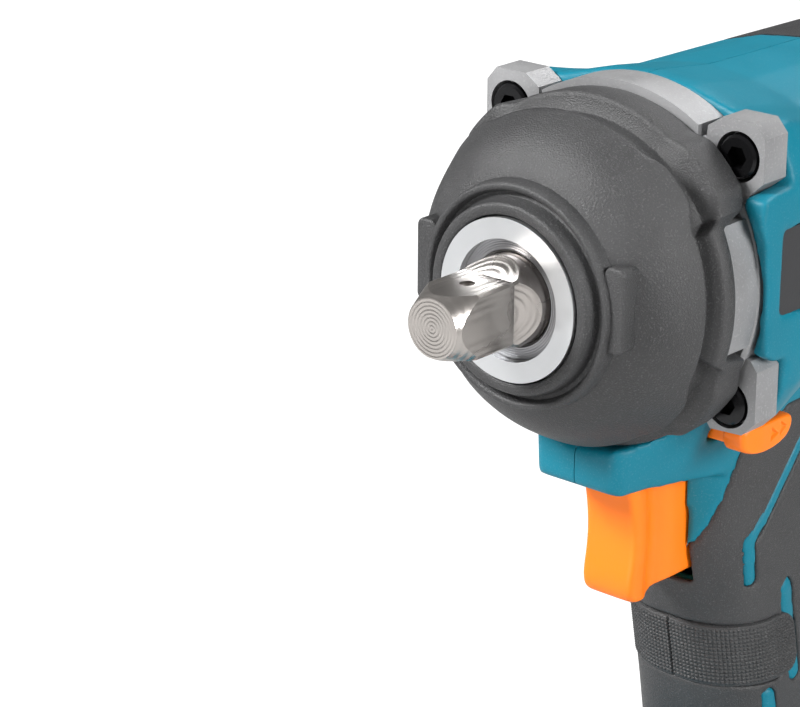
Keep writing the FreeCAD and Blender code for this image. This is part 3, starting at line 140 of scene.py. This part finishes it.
def studio_white(name, seen, lit):
    """A white that the camera sees at one strength and the object is lit by at another."""
    material = bpy.data.materials.new(name)
    material.use_nodes = True
    tree = material.node_tree
    paper = tree.nodes["Principled BSDF"]
    paper.inputs["Base Color"].default_value = (lit, lit, lit, 1)
    paper.inputs["Roughness"].default_value = PAPER_ROUGHNESS
    bright = tree.nodes.new("ShaderNodeEmission")
    bright.inputs["Strength"].default_value = seen
    rays = tree.nodes.new("ShaderNodeLightPath")
    share = tree.nodes.new("ShaderNodeMath")
    share.operation = "MULTIPLY"
    share.inputs[1].default_value = PAPER_SHARE
    tree.links.new(rays.outputs["Is Camera Ray"], share.inputs[0])
    blend = tree.nodes.new("ShaderNodeMixShader")
    tree.links.new(share.outputs["Value"], blend.inputs["Fac"])
    tree.links.new(paper.outputs["BSDF"], blend.inputs[1])
    tree.links.new(bright.outputs["Emission"], blend.inputs[2])
    tree.links.new(blend.outputs["Shader"], tree.nodes["Material Output"].inputs["Surface"])
    return material


studio_paper = studio_white("studio_paper", 1.3, 0.5)
backdrop_mesh.materials.append(studio_paper)

# %% [markdown]
# ## Finishes
# Every finish is a Principled shader fed by noise on Object coordinates: a fine bump for the moulded
# grain, a slow noise for roughness, and a small change of colour. One helper wires these up, and each
# finish is one call with its own numbers. A ring pattern about the drive axis marks turned steel.


# %% Finish helper
# Noise levels between which the tops of the fine grain are painted paler, as painted glints.
GLINT_LOW, GLINT_HIGH = 0.56, 0.72
RING_DISTORTION, RING_STRENGTH, RING_MM = 0.6, 0.6, 0.07


def finish(name, colour, rough=0.5, metal=0.0, grain=900.0, grain_depth=0.1, grain_mm=0.05,
           rough_swing=0.08, tint=0.12, tint_scale=60.0, glint_speck=0.0, rings=0.0, shine=0.5, stretch=None):
    """A procedural finish.

    grain is how many bumps there are in a metre, grain_depth their strength and grain_mm their height.
    rough_swing and tint vary roughness and colour over tint_scale. speck paints the tops of the grain
    paler, a painted glint.
    rings adds turning marks about the drive axis, shine is the strength of the clear reflection.
    """
    material = bpy.data.materials.new(name)
    material.use_nodes = True
    tree = material.node_tree
    shader = tree.nodes["Principled BSDF"]
    shader.inputs["Metallic"].default_value = metal
    shader.inputs["Specular IOR Level"].default_value = shine
    where = tree.nodes.new("ShaderNodeTexCoord").outputs["Object"]
    if stretch:
        mapping = tree.nodes.new("ShaderNodeMapping")
        mapping.inputs["Scale"].default_value = stretch
        tree.links.new(where, mapping.inputs["Vector"])
        where = mapping.outputs["Vector"]

    def noise(scale, detail):
        node = tree.nodes.new("ShaderNodeTexNoise")
        node.inputs["Scale"].default_value = scale
        node.inputs["Detail"].default_value = detail
        tree.links.new(where, node.inputs["Vector"])
        return node.outputs["Fac"]

    def remap(source, low, high, from_low=0.3, from_high=0.7):
        node = tree.nodes.new("ShaderNodeMapRange")
        for key, number in (("From Min", from_low), ("From Max", from_high),
                            ("To Min", low), ("To Max", high)):
            node.inputs[key].default_value = number
        tree.links.new(source, node.inputs["Value"])
        return node.outputs["Result"]

    def mix(kind, factor, first, second):
        node = tree.nodes.new("ShaderNodeMix")
        node.data_type = "RGBA"
        node.blend_type = kind
        for socket, item in ((node.inputs["Factor"], factor), (node.inputs[6], first),
                             (node.inputs[7], second)):
            if isinstance(item, (int, float, tuple)):
                socket.default_value = item
            else:
                tree.links.new(item, socket)
        return node.outputs[2]

    slow = noise(tint_scale, 3)
    fine = noise(grain, 4)
    dark = tuple(c * (1 - tint) for c in colour) + (1.0,)
    light = tuple(min(1.0, c * (1 + tint)) for c in colour) + (1.0,)
    shade = mix("MIX", remap(slow, 0.0, 1.0), dark, light)
    # Painted glint: the colour goes pale where the fine grain noise is high, a painted highlight on the
    # grain tops.
    if glint_speck:
        glint_colour = tuple(min(1.0, c + glint_speck * (1 - c)) for c in colour) + (1.0,)
        shade = mix("MIX", remap(fine, 0.0, 1.0, GLINT_LOW, GLINT_HIGH), shade, glint_colour)
    tree.links.new(shade, shader.inputs["Base Color"])
    tree.links.new(remap(slow, rough - rough_swing, rough + rough_swing), shader.inputs["Roughness"])
    bump = tree.nodes.new("ShaderNodeBump")
    bump.inputs["Strength"].default_value = grain_depth
    bump.inputs["Distance"].default_value = grain_mm * MM
    tree.links.new(fine, bump.inputs["Height"])
    if rings:
        centre = tree.nodes.new("ShaderNodeMapping")
        centre.inputs["Location"].default_value = (0.0, 0.0, -TIP[2])
        tree.links.new(tree.nodes["Texture Coordinate"].outputs["Object"], centre.inputs["Vector"])
        wave = tree.nodes.new("ShaderNodeTexWave")
        wave.wave_type = "RINGS"
        wave.rings_direction = "Y"
        wave.inputs["Scale"].default_value = rings
        wave.inputs["Distortion"].default_value = RING_DISTORTION
        tree.links.new(centre.outputs["Vector"], wave.inputs["Vector"])
        marks = tree.nodes.new("ShaderNodeBump")
        marks.inputs["Strength"].default_value = RING_STRENGTH
        marks.inputs["Distance"].default_value = RING_MM * MM
        tree.links.new(wave.outputs["Fac"], marks.inputs["Height"])
        tree.links.new(bump.outputs["Normal"], marks.inputs["Normal"])
        bump = marks
    tree.links.new(bump.outputs["Normal"], shader.inputs["Normal"])
    return material


# %% [markdown]
# Each slot of the record gets one finish. The teal and orange mouldings have a spark-eroded grain that
# catches tiny lights, the rubbers are deeper and duller, the casting is blasted, the steels are turned.

# %% Finishes by slot
FINISHES = {
    # The speck values below paint pale glints on the grain tops of the teal, the rubbers and the casting.
    "teal_shell": finish("teal_moulding", (0.0, 0.150, 0.215), 0.50, grain=2600, grain_depth=0.4,
                         grain_mm=0.05, tint=0.05, glint_speck=0.03, shine=0.28),
    "orange_control": finish("orange_moulding", (0.94, 0.185, 0.004), 0.44, grain=2600, grain_depth=0.25,
                             grain_mm=0.03, tint=0.04, shine=0.35),
    "black_rubber": finish("grained_rubber", (0.030, 0.030, 0.031), 0.50, grain=3000, grain_depth=1.0,
                           grain_mm=0.20, tint=0.18, glint_speck=0.05),
    "black_plastic": finish("black_moulding", (0.022, 0.022, 0.024), 0.48, grain=2000, grain_depth=0.4,
                            grain_mm=0.05, tint=0.15),
    "cast_alloy": finish("blasted_casting", (0.30, 0.30, 0.305), 0.55, metal=0.55, grain=1900,
                         grain_depth=0.7, grain_mm=0.10, tint=0.12, glint_speck=0.10),
    "turned_steel": finish("turned_steel", (0.46, 0.43, 0.405), 0.30, metal=1.0, grain=700,
                           grain_depth=0.15, grain_mm=0.03, tint=0.10, rings=420),
    "bright_washer": finish("pressed_washer", (0.62, 0.63, 0.64), 0.40, metal=0.9, grain=1500,
                            grain_depth=0.25, grain_mm=0.04, tint=0.06),
    "black_screw": finish("black_oxide", (0.012, 0.012, 0.013), 0.22, metal=0.6, grain=1200,
                          grain_depth=0.1, tint=0.2),
    "zinc_screw": finish("zinc_plate", (0.50, 0.51, 0.53), 0.32, metal=1.0, grain=1500, tint=0.1),
    "hard_steel": finish("machined_steel", (0.30, 0.30, 0.31), 0.34, metal=1.0, grain=800, tint=0.1,
                         rings=700),
    "spring_steel": finish("drawn_wire", (0.24, 0.24, 0.25), 0.36, metal=1.0, grain=900),
    "lamination": finish("stacked_steel", (0.26, 0.27, 0.28), 0.45, metal=0.9, grain=400,
                         stretch=(1, 9, 1), grain_depth=0.5),
    "copper": finish("enamelled_copper", (0.62, 0.22, 0.07), 0.30, metal=0.8, grain=600,
                     stretch=(1, 6, 1)),
    "circuit_board": finish("solder_mask", (0.01, 0.13, 0.05), 0.35, grain=500, tint=0.2),
    "magnet": finish("nickel_plate", (0.60, 0.58, 0.55), 0.22, metal=1.0, grain=900),
    "cell_wrap": finish("shrink_wrap", (0.05, 0.14, 0.40), 0.30, grain=300, tint=0.08),
    "terminal_brass": finish("plated_blade", (0.68, 0.48, 0.16), 0.28, metal=1.0, grain=900),
}
slot_of = {row["node"]: row["material_slot"] for row in frame["record"]["subparts"]}
for node_name, cad_piece in nodes.items():
    cad_piece.data.materials.clear()
    cad_piece.data.materials.append(FINISHES[slot_of[node_name]])
print(len(FINISHES), "finishes on", len(nodes), "CAD nodes")

floor_mesh = bpy.data.meshes.new("floor")
floor_mesh.from_pydata([(-6, -6, 0), (6, -6, 0), (6, 6, 0), (-6, 6, 0)], [], [(0, 1, 2, 3)])
floor = bpy.data.objects.new("floor", floor_mesh)
bpy.context.scene.collection.objects.link(floor)
floor_mesh.materials.append(studio_paper)

# %% [markdown]
# ## Tools for surfaces
# A grid of points becomes quads. A control polygon becomes a soft curve. A smooth step and a signed
# distance to an outline shape the details. These helpers make nearly every new piece.


# %% Surface helpers
def grid_faces(rows, columns, wrap_rows, wrap_columns):
    """Quads between neighbouring grid points, as an index array."""
    i = np.arange(rows if wrap_rows else rows - 1)
    j = np.arange(columns if wrap_columns else columns - 1)
    i, j = np.meshgrid(i, j, indexing="ij")
    i2, j2 = (i + 1) % rows, (j + 1) % columns
    quads = [i * columns + j, i2 * columns + j, i2 * columns + j2, i * columns + j2]
    return np.stack(quads, -1).reshape(-1, 4)


DOUBLES_MM, SLIVER_MM = 0.004, 0.001


def new_piece(name, points, faces, body, slot, replaces=(), sharp=38):
    """A mesh object that rides on a body, with its doubles merged, normals outward and finish set."""
    mesh = bpy.data.meshes.new(name)
    mesh.from_pydata(points.reshape(-1, 3).tolist(), [], faces.tolist())
    piece = bpy.data.objects.new(name, mesh)
    bpy.context.scene.collection.objects.link(piece)
    work = bmesh.new()
    work.from_mesh(mesh)
    bmesh.ops.remove_doubles(work, verts=work.verts, dist=DOUBLES_MM * MM)
    bmesh.ops.dissolve_degenerate(work, edges=work.edges, dist=SLIVER_MM * MM)
    bmesh.ops.recalc_face_normals(work, faces=work.faces)
    work.to_mesh(mesh)
    work.free()
    mesh.shade_smooth()
    mesh.set_sharp_from_angle(angle=math.radians(sharp))
    mesh.materials.append(FINISHES[slot])
    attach(piece, body)
    if replaces:
        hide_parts(*replaces)
    print(f"{name}: {len(mesh.polygons)} faces")
    return piece


def sheet_piece(name, grid, body, slot, wrap=(False, False), **more):
    """A piece from one grid of points."""
    faces = grid_faces(grid.shape[0], grid.shape[1], *wrap)
    return new_piece(name, grid, faces, body, slot, **more)


def apply_modifiers(piece):
    """Bakes the piece's modifiers into its mesh."""
    graph = bpy.context.evaluated_depsgraph_get()
    baked = bpy.data.meshes.new_from_object(piece.evaluated_get(graph))
    old = piece.data
    piece.modifiers.clear()
    piece.data = baked
    bpy.data.meshes.remove(old)


def soft_curve(control, count, closed=False):
    """Quadratic B-spline of control points along axis 0.

    Each span is (1-t)^2 A + 2t(1-t) P + t^2 B, where P is a corner and A and B are the midpoints to its
    neighbours. An open curve starts and ends on its end corners.
    """
    control = np.asarray(control, float)
    if closed:
        before, after = np.roll(control, 1, 0), np.roll(control, -1, 0)
        starts, middles, ends = (before + control) / 2, control, (control + after) / 2
    else:
        joints = (control[1:-2] + control[2:-1]) / 2
        starts = np.concatenate([control[:1], joints])
        middles = control[1:-1]
        ends = np.concatenate([joints, control[-1:]])
    spans = len(middles)
    t = np.linspace(0, spans, count, endpoint=not closed)
    k = np.minimum(t.astype(int), spans - 1)
    t = (t - k).reshape((-1,) + (1,) * (control.ndim - 1))
    return (1 - t) ** 2 * starts[k] + 2 * t * (1 - t) * middles[k] + t ** 2 * ends[k]


def step(value, low, high):
    """Smooth step from 0 at low to 1 at high: 3t^2 - 2t^3."""
    t = np.clip((value - low) / (high - low), 0, 1)
    return t * t * (3 - 2 * t)


def outline_distance(u, v, corners):
    """Signed distance to a closed outline, plus inside."""
    corners = np.asarray(corners, float)
    nearest = np.full(u.shape, np.inf)
    inside = np.zeros(u.shape, bool)
    for (x1, y1), (x2, y2) in zip(corners, np.roll(corners, -1, 0)):
        dx, dy = x2 - x1, y2 - y1
        t = np.clip(((u - x1) * dx + (v - y1) * dy) / (dx * dx + dy * dy), 0, 1)
        nearest = np.minimum(nearest, np.hypot(u - x1 - t * dx, v - y1 - t * dy))
        crosses = ((y1 > v) != (y2 > v)) & (u < x1 + dx * (v - y1) / np.where(dy == 0, 1e-9, dy))
        inside ^= crosses
    return np.where(inside, nearest, -nearest)


# %% [markdown]
# ## Rounded moulding edges
# A CAD solid has knife edges, a moulding or casting never has. Two ways are used. The large shell and
# the rubber sleeve are copied, rebuilt as an even skin of small quads and relaxed, so that every edge
# gets a radius of about a millimetre and the outline stays. Small hard parts keep the CAD mesh and get
# a bevel modifier whose width is the edge break the real part would have.


# %% Edge helpers
def relaxed_copy(name, sources, cell, rounds, slot):
    """A copy of CAD nodes, rebuilt as quads of one cell size and relaxed so that its edges are round."""
    copies = []
    for source in sources:
        twin = nodes[source].copy()
        twin.data = nodes[source].data.copy()
        twin.parent = None
        twin.matrix_world = nodes[source].matrix_world
        bpy.context.scene.collection.objects.link(twin)
        copies.append(twin)
    piece = copies[0]
    if len(copies) > 1:
        with bpy.context.temp_override(active_object=piece, selected_editable_objects=copies):
            bpy.ops.object.join()
    piece.name = name
    remesh = piece.modifiers.new("even_skin", "REMESH")
    remesh.mode, remesh.voxel_size = "VOXEL", cell * MM
    relax = piece.modifiers.new("relax", "SMOOTH")
    relax.factor, relax.iterations = 0.5, rounds
    apply_modifiers(piece)
    piece.data.transform(piece.matrix_world)
    piece.matrix_world = Matrix()
    piece.data.materials.clear()
    piece.data.materials.append(FINISHES[slot])
    piece.data.shade_smooth()
    return piece


def split_half(piece, name, side, body, slot, replaces):
    """One side of a piece, closed along the middle plane a little way off it, so that a seam shows."""
    work = bmesh.new()
    work.from_mesh(piece.data)
    cut = bmesh.ops.bisect_plane(work, geom=work.verts[:] + work.edges[:] + work.faces[:],
                                 plane_co=(side * SEAM_HALF * MM, 0, 0), plane_no=(side, 0, 0),
                                 clear_inner=True)
    rim = [item for item in cut["geom_cut"] if isinstance(item, bmesh.types.BMEdge)]
    bmesh.ops.triangle_fill(work, edges=rim, use_beauty=False)
    bmesh.ops.recalc_face_normals(work, faces=work.faces)
    mesh = bpy.data.meshes.new(name)
    work.to_mesh(mesh)
    work.free()
    half = bpy.data.objects.new(name, mesh)
    bpy.context.scene.collection.objects.link(half)
    mesh.materials.append(FINISHES[slot])
    mesh.shade_smooth()
    mesh.set_sharp_from_angle(angle=math.radians(SHELL_SHARP))
    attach(half, body)
    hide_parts(*replaces)
    print(f"{name}: {len(mesh.polygons)} faces")
    return half


BEVEL_ANGLE = 32


def edge_break(node, width, segments=3):
    """A bevel modifier on a CAD node."""
    bevel = nodes[node].modifiers.new("edge_break", "BEVEL")
    bevel.width, bevel.segments = width * MM, segments
    bevel.limit_method, bevel.angle_limit = "ANGLE", math.radians(BEVEL_ANGLE)
    bevel.use_clamp_overlap = True
    bevel.harden_normals = True


# %% [markdown]
# ## The shell
# The two clamshell halves are one skin while they are rebuilt, so that the surface runs across the
# middle, and are then parted there by the fine line that a real pair of mouldings shows.

# %% Shell halves
SEAM_HALF = 0.09
SHELL_CELL, SLEEVE_CELL = 0.80, 0.55
SHELL_ROUNDS, SLEEVE_ROUNDS = 7, 4
SHELL_SHARP = 60
skin = relaxed_copy("shell_skin", ["housing_left", "housing_right"], SHELL_CELL, SHELL_ROUNDS, "teal_shell")
for side, half_name, cad_name in ((-1, "shell_left", "housing_left"), (1, "shell_right", "housing_right")):
    split_half(skin, half_name, side, "tool", "teal_shell", [cad_name])
bpy.data.objects.remove(skin)

# %% [markdown]
# ## The grip sleeve
# The soft skin of the handle is relaxed in the same way, from smaller cells, so its finer edges stay.

# %% Grip sleeve
sleeve = relaxed_copy("grip_sleeve", ["grip_overmold"], SLEEVE_CELL, SLEEVE_ROUNDS, "black_rubber")
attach(sleeve, "tool")
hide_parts("grip_overmold")
print("grip_sleeve:", len(sleeve.data.polygons), "faces")

# %% [markdown]
# ## The nose guard
# A rubber guard, moulded round the gear case. Its section is a path from the inside edge of its face,
# over the collar, the dome, the groove and the rim, and back inside. Swept round the drive axis it
# would be plain, so the path changes with the angle: the rim and the ridge swell in front of the four
# corner bolts, and at each side the rim is cut short, so that the casting shows behind it.

# %% Nose guard
BOLT_ANGLES = np.radians([43.5, 136.5, -40.3, -139.7])
WINDOW_LOW, WINDOW_HIGH, WINDOW_FADE = -17.0, 25.0, 5.0
GUARD_TURNS = 900


def near(angle, centre, inner, outer):
    """1 within inner degrees of centre, 0 beyond outer degrees, smooth between."""
    away = np.degrees(np.abs((angle - centre + np.pi) % (2 * np.pi) - np.pi))
    return 1 - step(away, inner, outer)


def guard_path(angle):
    """Section points (station, radius) of the guard for an array of angles, shape (points, angles, 2)."""
    lobe = np.clip(sum(near(angle, a, 7.0, 16.0) for a in BOLT_ANGLES), 0, 1)
    swell = np.clip(sum(near(angle, a, 5.0, 17.0) for a in BOLT_ANGLES), 0, 1)
    side = np.degrees(np.arctan2(np.sin(angle), np.abs(np.cos(angle))))
    window = (step(side, WINDOW_LOW - WINDOW_FADE, WINDOW_LOW)
              * (1 - step(side, WINDOW_HIGH, WINDOW_HIGH + WINDOW_FADE)))
    ridge_s, ridge_r = 38.5 + 1.8 * swell, 33.6 + 0.8 * swell
    groove_r = 31.6 + 0.4 * swell
    bar_s = 45.6 - 3.6 * window - 0.6 * swell
    rim_r = 35.6 + 1.75 * lobe - 0.1 * window
    rear_s = 54.4 - 7.9 * window
    rear_r = rim_r - 0.4 * (1 - window)
    start_s, start_r = 27.0, 23.3
    bulge_r = 0.35 * swell
    dome = []
    for t in np.linspace(0, 1, 17):
        bulge = 1.9 * math.sin(math.pi * t) * (1 - 0.35 * t)
        dome.append((start_s + (ridge_s - start_s) * t - bulge * 0.62,
                     start_r + (ridge_r - start_r) * t + bulge * 0.75 + bulge_r * t))
    path = [(22.6, 16.55), (21.95, 16.6), (21.72, 16.9), (21.70, 18.3), (21.85, 18.7), (22.3, 18.95),
            (24.9, 19.4), (25.2, 19.7), (25.2, 20.4), (23.9, 20.9), (23.6, 21.2), (23.55, 21.9),
            (23.8, 22.3), (25.0, 22.55), (26.2, 22.6), (26.8, 22.75), *dome,
            (ridge_s + 0.4, ridge_r + 0.05), (ridge_s + 0.6, ridge_r - 0.3),
            (ridge_s + 0.7, groove_r + 0.1),
            (ridge_s + 1.0, groove_r), (bar_s - 0.6, groove_r), (bar_s - 0.15, groove_r + 0.35),
            (bar_s + 0.25, rim_r - 1.0), (bar_s + 0.5, rim_r - 0.35), (bar_s + 1.0, rim_r),
            (rear_s - 1.1, rear_r), (rear_s - 0.4, rear_r - 0.2), (rear_s, rear_r - 0.75),
            (rear_s, 31.25), (40.0, 31.2), (35.5, 28.5), (27.4, 17.6), (23.4, 16.55)]
    flat = np.zeros_like(angle)
    return np.stack([np.stack([s + flat, r + flat], -1) for s, r in path])


turn = np.linspace(0, 2 * np.pi, GUARD_TURNS, endpoint=False)
section = guard_path(turn)
ring = place(section[..., 1] * np.cos(turn), section[..., 0], section[..., 1] * np.sin(turn))
sheet_piece("nose_guard", ring, "tool", "black_rubber", wrap=(True, True), replaces=["nose_bumper"],
            sharp=50)


# %% [markdown]
# The guard has a tab on each side of its collar. A tab is a rounded block: the section is a rounded
# rectangle, drawn in near its front and rear edges so that they are round as well.


# %% Rounded blocks
def rounded_loop(low_u, high_u, low_v, high_v, radius, count=48):
    """Points round a rectangle with round corners, evenly spread in angle at each corner."""
    loop = []
    for corner, (u, v) in enumerate(((high_u, high_v), (low_u, high_v), (low_u, low_v), (high_u, low_v))):
        for a in np.linspace(corner * np.pi / 2, (corner + 1) * np.pi / 2, count // 4):
            cu = u - radius if u == high_u else u + radius
            cv = v - radius if v == high_v else v + radius
            loop.append((cu + radius * math.cos(a), cv + radius * math.sin(a)))
    return np.array(loop)


def capped_loops(loops, levels):
    """Stacks loops (u, v) at levels w and closes both ends to their middle points."""
    rows = [np.column_stack([loop, np.full(len(loop), level)]) for loop, level in zip(loops, levels)]
    first, last = rows[0].mean(0), rows[-1].mean(0)
    return np.stack([np.tile(first, (len(loops[0]), 1)), *rows, np.tile(last, (len(loops[0]), 1))])


LEAST_RADIUS = 0.05


def rounded_block(u, v, w, radius, edge):
    """A block u by v by w (low, high pairs) with round corners and round end edges."""
    loops, levels = [], []
    for a in np.linspace(0, np.pi / 2, 5):
        inset = edge * (1 - math.sin(a))
        loops.append(rounded_loop(u[0] + inset, u[1] - inset, v[0] + inset, v[1] - inset,
                                  max(radius - inset, LEAST_RADIUS)))
        levels.append(w[0] + edge * (1 - math.cos(a)))
    return capped_loops(loops + loops[::-1], levels + [w[0] + w[1] - level for level in levels[::-1]])


TAB_X, TAB_Z, TAB_S = (20.5, 25.3), (-6.2, 10.6), (24.6, 31.0)
TAB_CORNER, TAB_EDGE = 1.6, 0.6
for side, tab_name in ((1, "guard_tab_right"), (-1, "guard_tab_left")):
    block = rounded_block(TAB_X, TAB_Z, TAB_S, TAB_CORNER, TAB_EDGE)
    sheet_piece(tab_name, place(side * block[..., 0], block[..., 2], block[..., 1]), "tool", "black_rubber",
                wrap=(False, True))

# %% [markdown]
# ## The trigger
# Seen from above a trigger is a paddle with soft front corners, a flute down each side and flares that
# fill the slot. Seen from the side its front is waisted. The net below is one plan outline, moved
# along the waisted front line at several heights and drawn in at the rounded bottom.

# %% Trigger
TRIGGER_TOP, TRIGGER_FRONT, TRIGGER_DEEP = -44.9, 55.7, 26.9
TRIGGER_ROWS, TRIGGER_COLUMNS = 90, 150
half_plan = [(0, 0), (3.9, 0), (5.9, 0.15), (6.7, 1.5), (6.6, 4.0), (5.3, 6.2), (5.0, 8.6), (6.1, 10.6),
             (6.75, 12.6), (6.8, 15.5), (6.8, TRIGGER_DEEP - 0.4), (6.4, TRIGGER_DEEP), (0, TRIGGER_DEEP)]
plan = np.array(half_plan + [(-x, s) for x, s in half_plan[-2:0:-1]])
levels = [(0.0, -1.5, 0), (3.0, -1.2, 0), (8.0, 0.0, 0), (14.0, 0.7, 0), (19.0, 0.35, 0), (23.2, -0.5, 0),
          (26.0, -0.4, 0), (27.8, 0.5, 0.15), (28.6, 2.0, 0.9), (28.9, 3.8, 2.2), (28.9, 5.2, 3.6)]
net = []
for drop, shift, inset in levels:
    outline = plan.copy()
    outline[:, 0] = np.sign(outline[:, 0]) * np.maximum(np.abs(outline[:, 0]) - inset, 0)
    front_share = np.clip(1 - outline[:, 1] / 14.0, 0, 1)
    outline[:, 1] = outline[:, 1] + TRIGGER_FRONT + shift * front_share
    lift = (drop / 30.0) ** 4 * 2.6 * step(outline[:, 1], TRIGGER_FRONT + 5, TRIGGER_FRONT + 13)
    net.append(np.column_stack([outline, TRIGGER_TOP - drop + lift]))
net = np.array(net)
rows = soft_curve(net, TRIGGER_ROWS)
rows = np.stack([soft_curve(row, TRIGGER_COLUMNS, closed=True) for row in rows])
caps = [np.tile(rows[k].mean(0), (rows.shape[1], 1))[None] for k in (0, -1)]
rows = np.concatenate([caps[0], rows, caps[1]])
sheet_piece("trigger_paddle", place(rows[..., 0], rows[..., 1], rows[..., 2]), "trigger", "orange_control",
            wrap=(False, True), replaces=["trigger"])

# %% [markdown]
# ## The direction lever
# One bar through the handle with a leaf-shaped paddle at each end. A paddle is drawn as rings: the
# leaf outline shrunk towards its middle, first up the rounded edge and then across the face. Two
# triangles are pressed into the rear of the face, a smooth step down inside each triangle.

# %% Direction lever
LEAF = np.array([(61.8, -33.2), (62.1, -31.6), (64.0, -31.0), (70.0, -31.0), (75.4, -31.0), (77.9, -31.6),
                 (78.3, -33.4), (76.9, -35.6), (73.5, -36.9), (69.0, -37.3), (64.6, -36.9), (62.3, -35.6)])
LEAF_MIDDLE = np.array([69.8, -34.0])
LEVER_IN, LEVER_OUT, LEVER_EDGE = 22.8, 28.6, 1.3
LEAF_POINTS, FACE_SHARE = 160, 0.86
LEAN_DEPTH, TRIANGLE_DEPTH = 0.8, 0.55
TRIANGLES = [np.array([(70.2, -35.4), (73.0, -34.3), (70.6, -32.5)]),
             np.array([(73.4, -35.0), (76.0, -33.6), (73.8, -32.0)])]
leaf = soft_curve(LEAF, LEAF_POINTS, closed=True)
rings = []
for share in np.linspace(0, 1, 46) ** 0.8:
    rings.append((share * FACE_SHARE, LEVER_OUT))
for a in np.linspace(0, np.pi / 2, 7)[1:]:
    rings.append((FACE_SHARE + (1 - FACE_SHARE) * math.sin(a),
                  LEVER_OUT - LEVER_EDGE * (1 - math.cos(a))))
rings += [(1.0, LEVER_IN + 0.4), (0.96, LEVER_IN), (0.0, LEVER_IN)]
paddle = []
for share, level in rings:
    spot = LEAF_MIDDLE + (leaf - LEAF_MIDDLE) * share
    height = np.full(len(spot), level)
    if level > LEVER_OUT - LEVER_EDGE - 0.01:
        height = height - LEAN_DEPTH * (1 - step(spot[:, 0], 61.5, 68.0))
        for triangle in TRIANGLES:
            pressed = outline_distance(spot[:, 0], spot[:, 1], triangle)
            height = height - TRIANGLE_DEPTH * step(pressed, -0.1, 0.35)
    paddle.append(np.column_stack([height, spot]))
paddle = np.array(paddle)
bar = rounded_block((66.2, 73.8), (-36.8, -33.7), (-LEVER_IN - 1, LEVER_IN + 1), 0.8, 0.3)
parts = [place(side * paddle[..., 0], paddle[..., 1], paddle[..., 2]) for side in (1, -1)]
parts.append(place(bar[..., 2], bar[..., 0], bar[..., 1]))
points, faces, offset = [], [], 0
for part in parts:
    points.append(part.reshape(-1, 3))
    faces.append(grid_faces(part.shape[0], part.shape[1], False, True) + offset)
    offset += points[-1].shape[0]
new_piece("lever_paddles", np.concatenate(points), np.concatenate(faces), "direction_lever",
          "orange_control", replaces=["direction_lever"])

# %% [markdown]
# ## The knurled patch
# The front of the grip carries a band of small square pyramids. The band lies on the grip's own
# section: a rectangle with round corners whose front leans back with the drop. A point on the band is
# a distance along that section and a height, so the knurl is two triangle waves, one in each.

# %% Knurled patch
GRIP_FRONT, GRIP_LEVEL, GRIP_RAKE, GRIP_HALF = 77.2, 84.0, 0.21, 17.0
PATCH_TOP, PATCH_BOTTOM, PATCH_REACH, PATCH_CORNER = -84.3, -100.7, 33.5, 5.0
PITCH, KNURL = 0.92, 0.38
PATCH_COLUMNS, PATCH_ROWS, PATCH_UNDER = 592, 146, 1.3
along = np.linspace(-PATCH_REACH, PATCH_REACH, PATCH_COLUMNS)
heights = np.linspace(PATCH_BOTTOM, PATCH_TOP, PATCH_ROWS)
run, height = np.meshgrid(along, heights)
drop = -height
share = np.clip((drop - GRIP_LEVEL) / 22, 0, 1)
half = GRIP_HALF + 0.4 * share
radius = half - 2.5
front = GRIP_FRONT + GRIP_RAKE * (drop - GRIP_LEVEL)
flat = half - radius
arc = radius * np.pi / 2
away = np.abs(run)
bend = np.clip((away - flat) / radius, 0, np.pi / 2)
straight = np.maximum(away - flat - arc, 0)
normal_x, normal_s = np.sin(bend), -np.cos(bend)
base_x = np.minimum(away, flat) + radius * normal_x
base_s = front + radius + radius * normal_s + straight
wave = 1 - np.maximum(np.abs((run / PITCH) % 1 - 0.5), np.abs((height / PITCH) % 1 - 0.5)) * 2
to_side = PATCH_REACH - np.abs(run)
to_level = np.minimum(height - PATCH_BOTTOM, PATCH_TOP - height)
corner = np.hypot(np.maximum(PATCH_CORNER - to_side, 0), np.maximum(PATCH_CORNER - to_level, 0))
edge = np.where((to_side < PATCH_CORNER) & (to_level < PATCH_CORNER), PATCH_CORNER - corner,
                np.minimum(to_side, to_level))
rise = step(edge, 0.25, 1.0)
seam = 1 - step(np.abs(run), 0.10, 0.35)
lift = -1.0 + rise * (1.05 + KNURL * wave * step(edge, 1.0, 1.7)) - 0.5 * seam * rise
outer = place(np.sign(run) * (base_x + lift * normal_x), base_s + lift * normal_s, height)
under = place(np.sign(run) * (base_x - PATCH_UNDER * normal_x), base_s - PATCH_UNDER * normal_s, height)
keep = edge > 0.0
grid = np.concatenate([outer.reshape(-1, 3), under.reshape(-1, 3)])
cells = grid_faces(*run.shape, False, False)
cells = cells[keep.reshape(-1)[cells].all(1)]
new_piece("knurled_patch", grid, cells, "tool", "black_rubber", replaces=["grip_patch"])

# %% [markdown]
# ## Small hard parts
# Castings, screws, cases and covers keep their CAD meshes. Each gets the edge break of its process:
# wide on the blasted casting and the battery case, fine on screws and turned steel.

# %% Edge breaks
EDGES = {"gear_case": 0.7, "gear_case_screws": 0.25, "anvil": 0.22, "nose_washer": 0.2, "anvil_bush": 0.3,
         "side_vent_right": 0.3, "side_vent_left": 0.3, "rear_overmold": 0.8, "battery_upper_case": 0.9,
         "battery_lower_case": 1.0, "battery_latch": 0.6, "housing_screws": 0.2}
for node_name, width in EDGES.items():
    edge_break(node_name, width)
print(len(EDGES), "CAD nodes have broken edges")
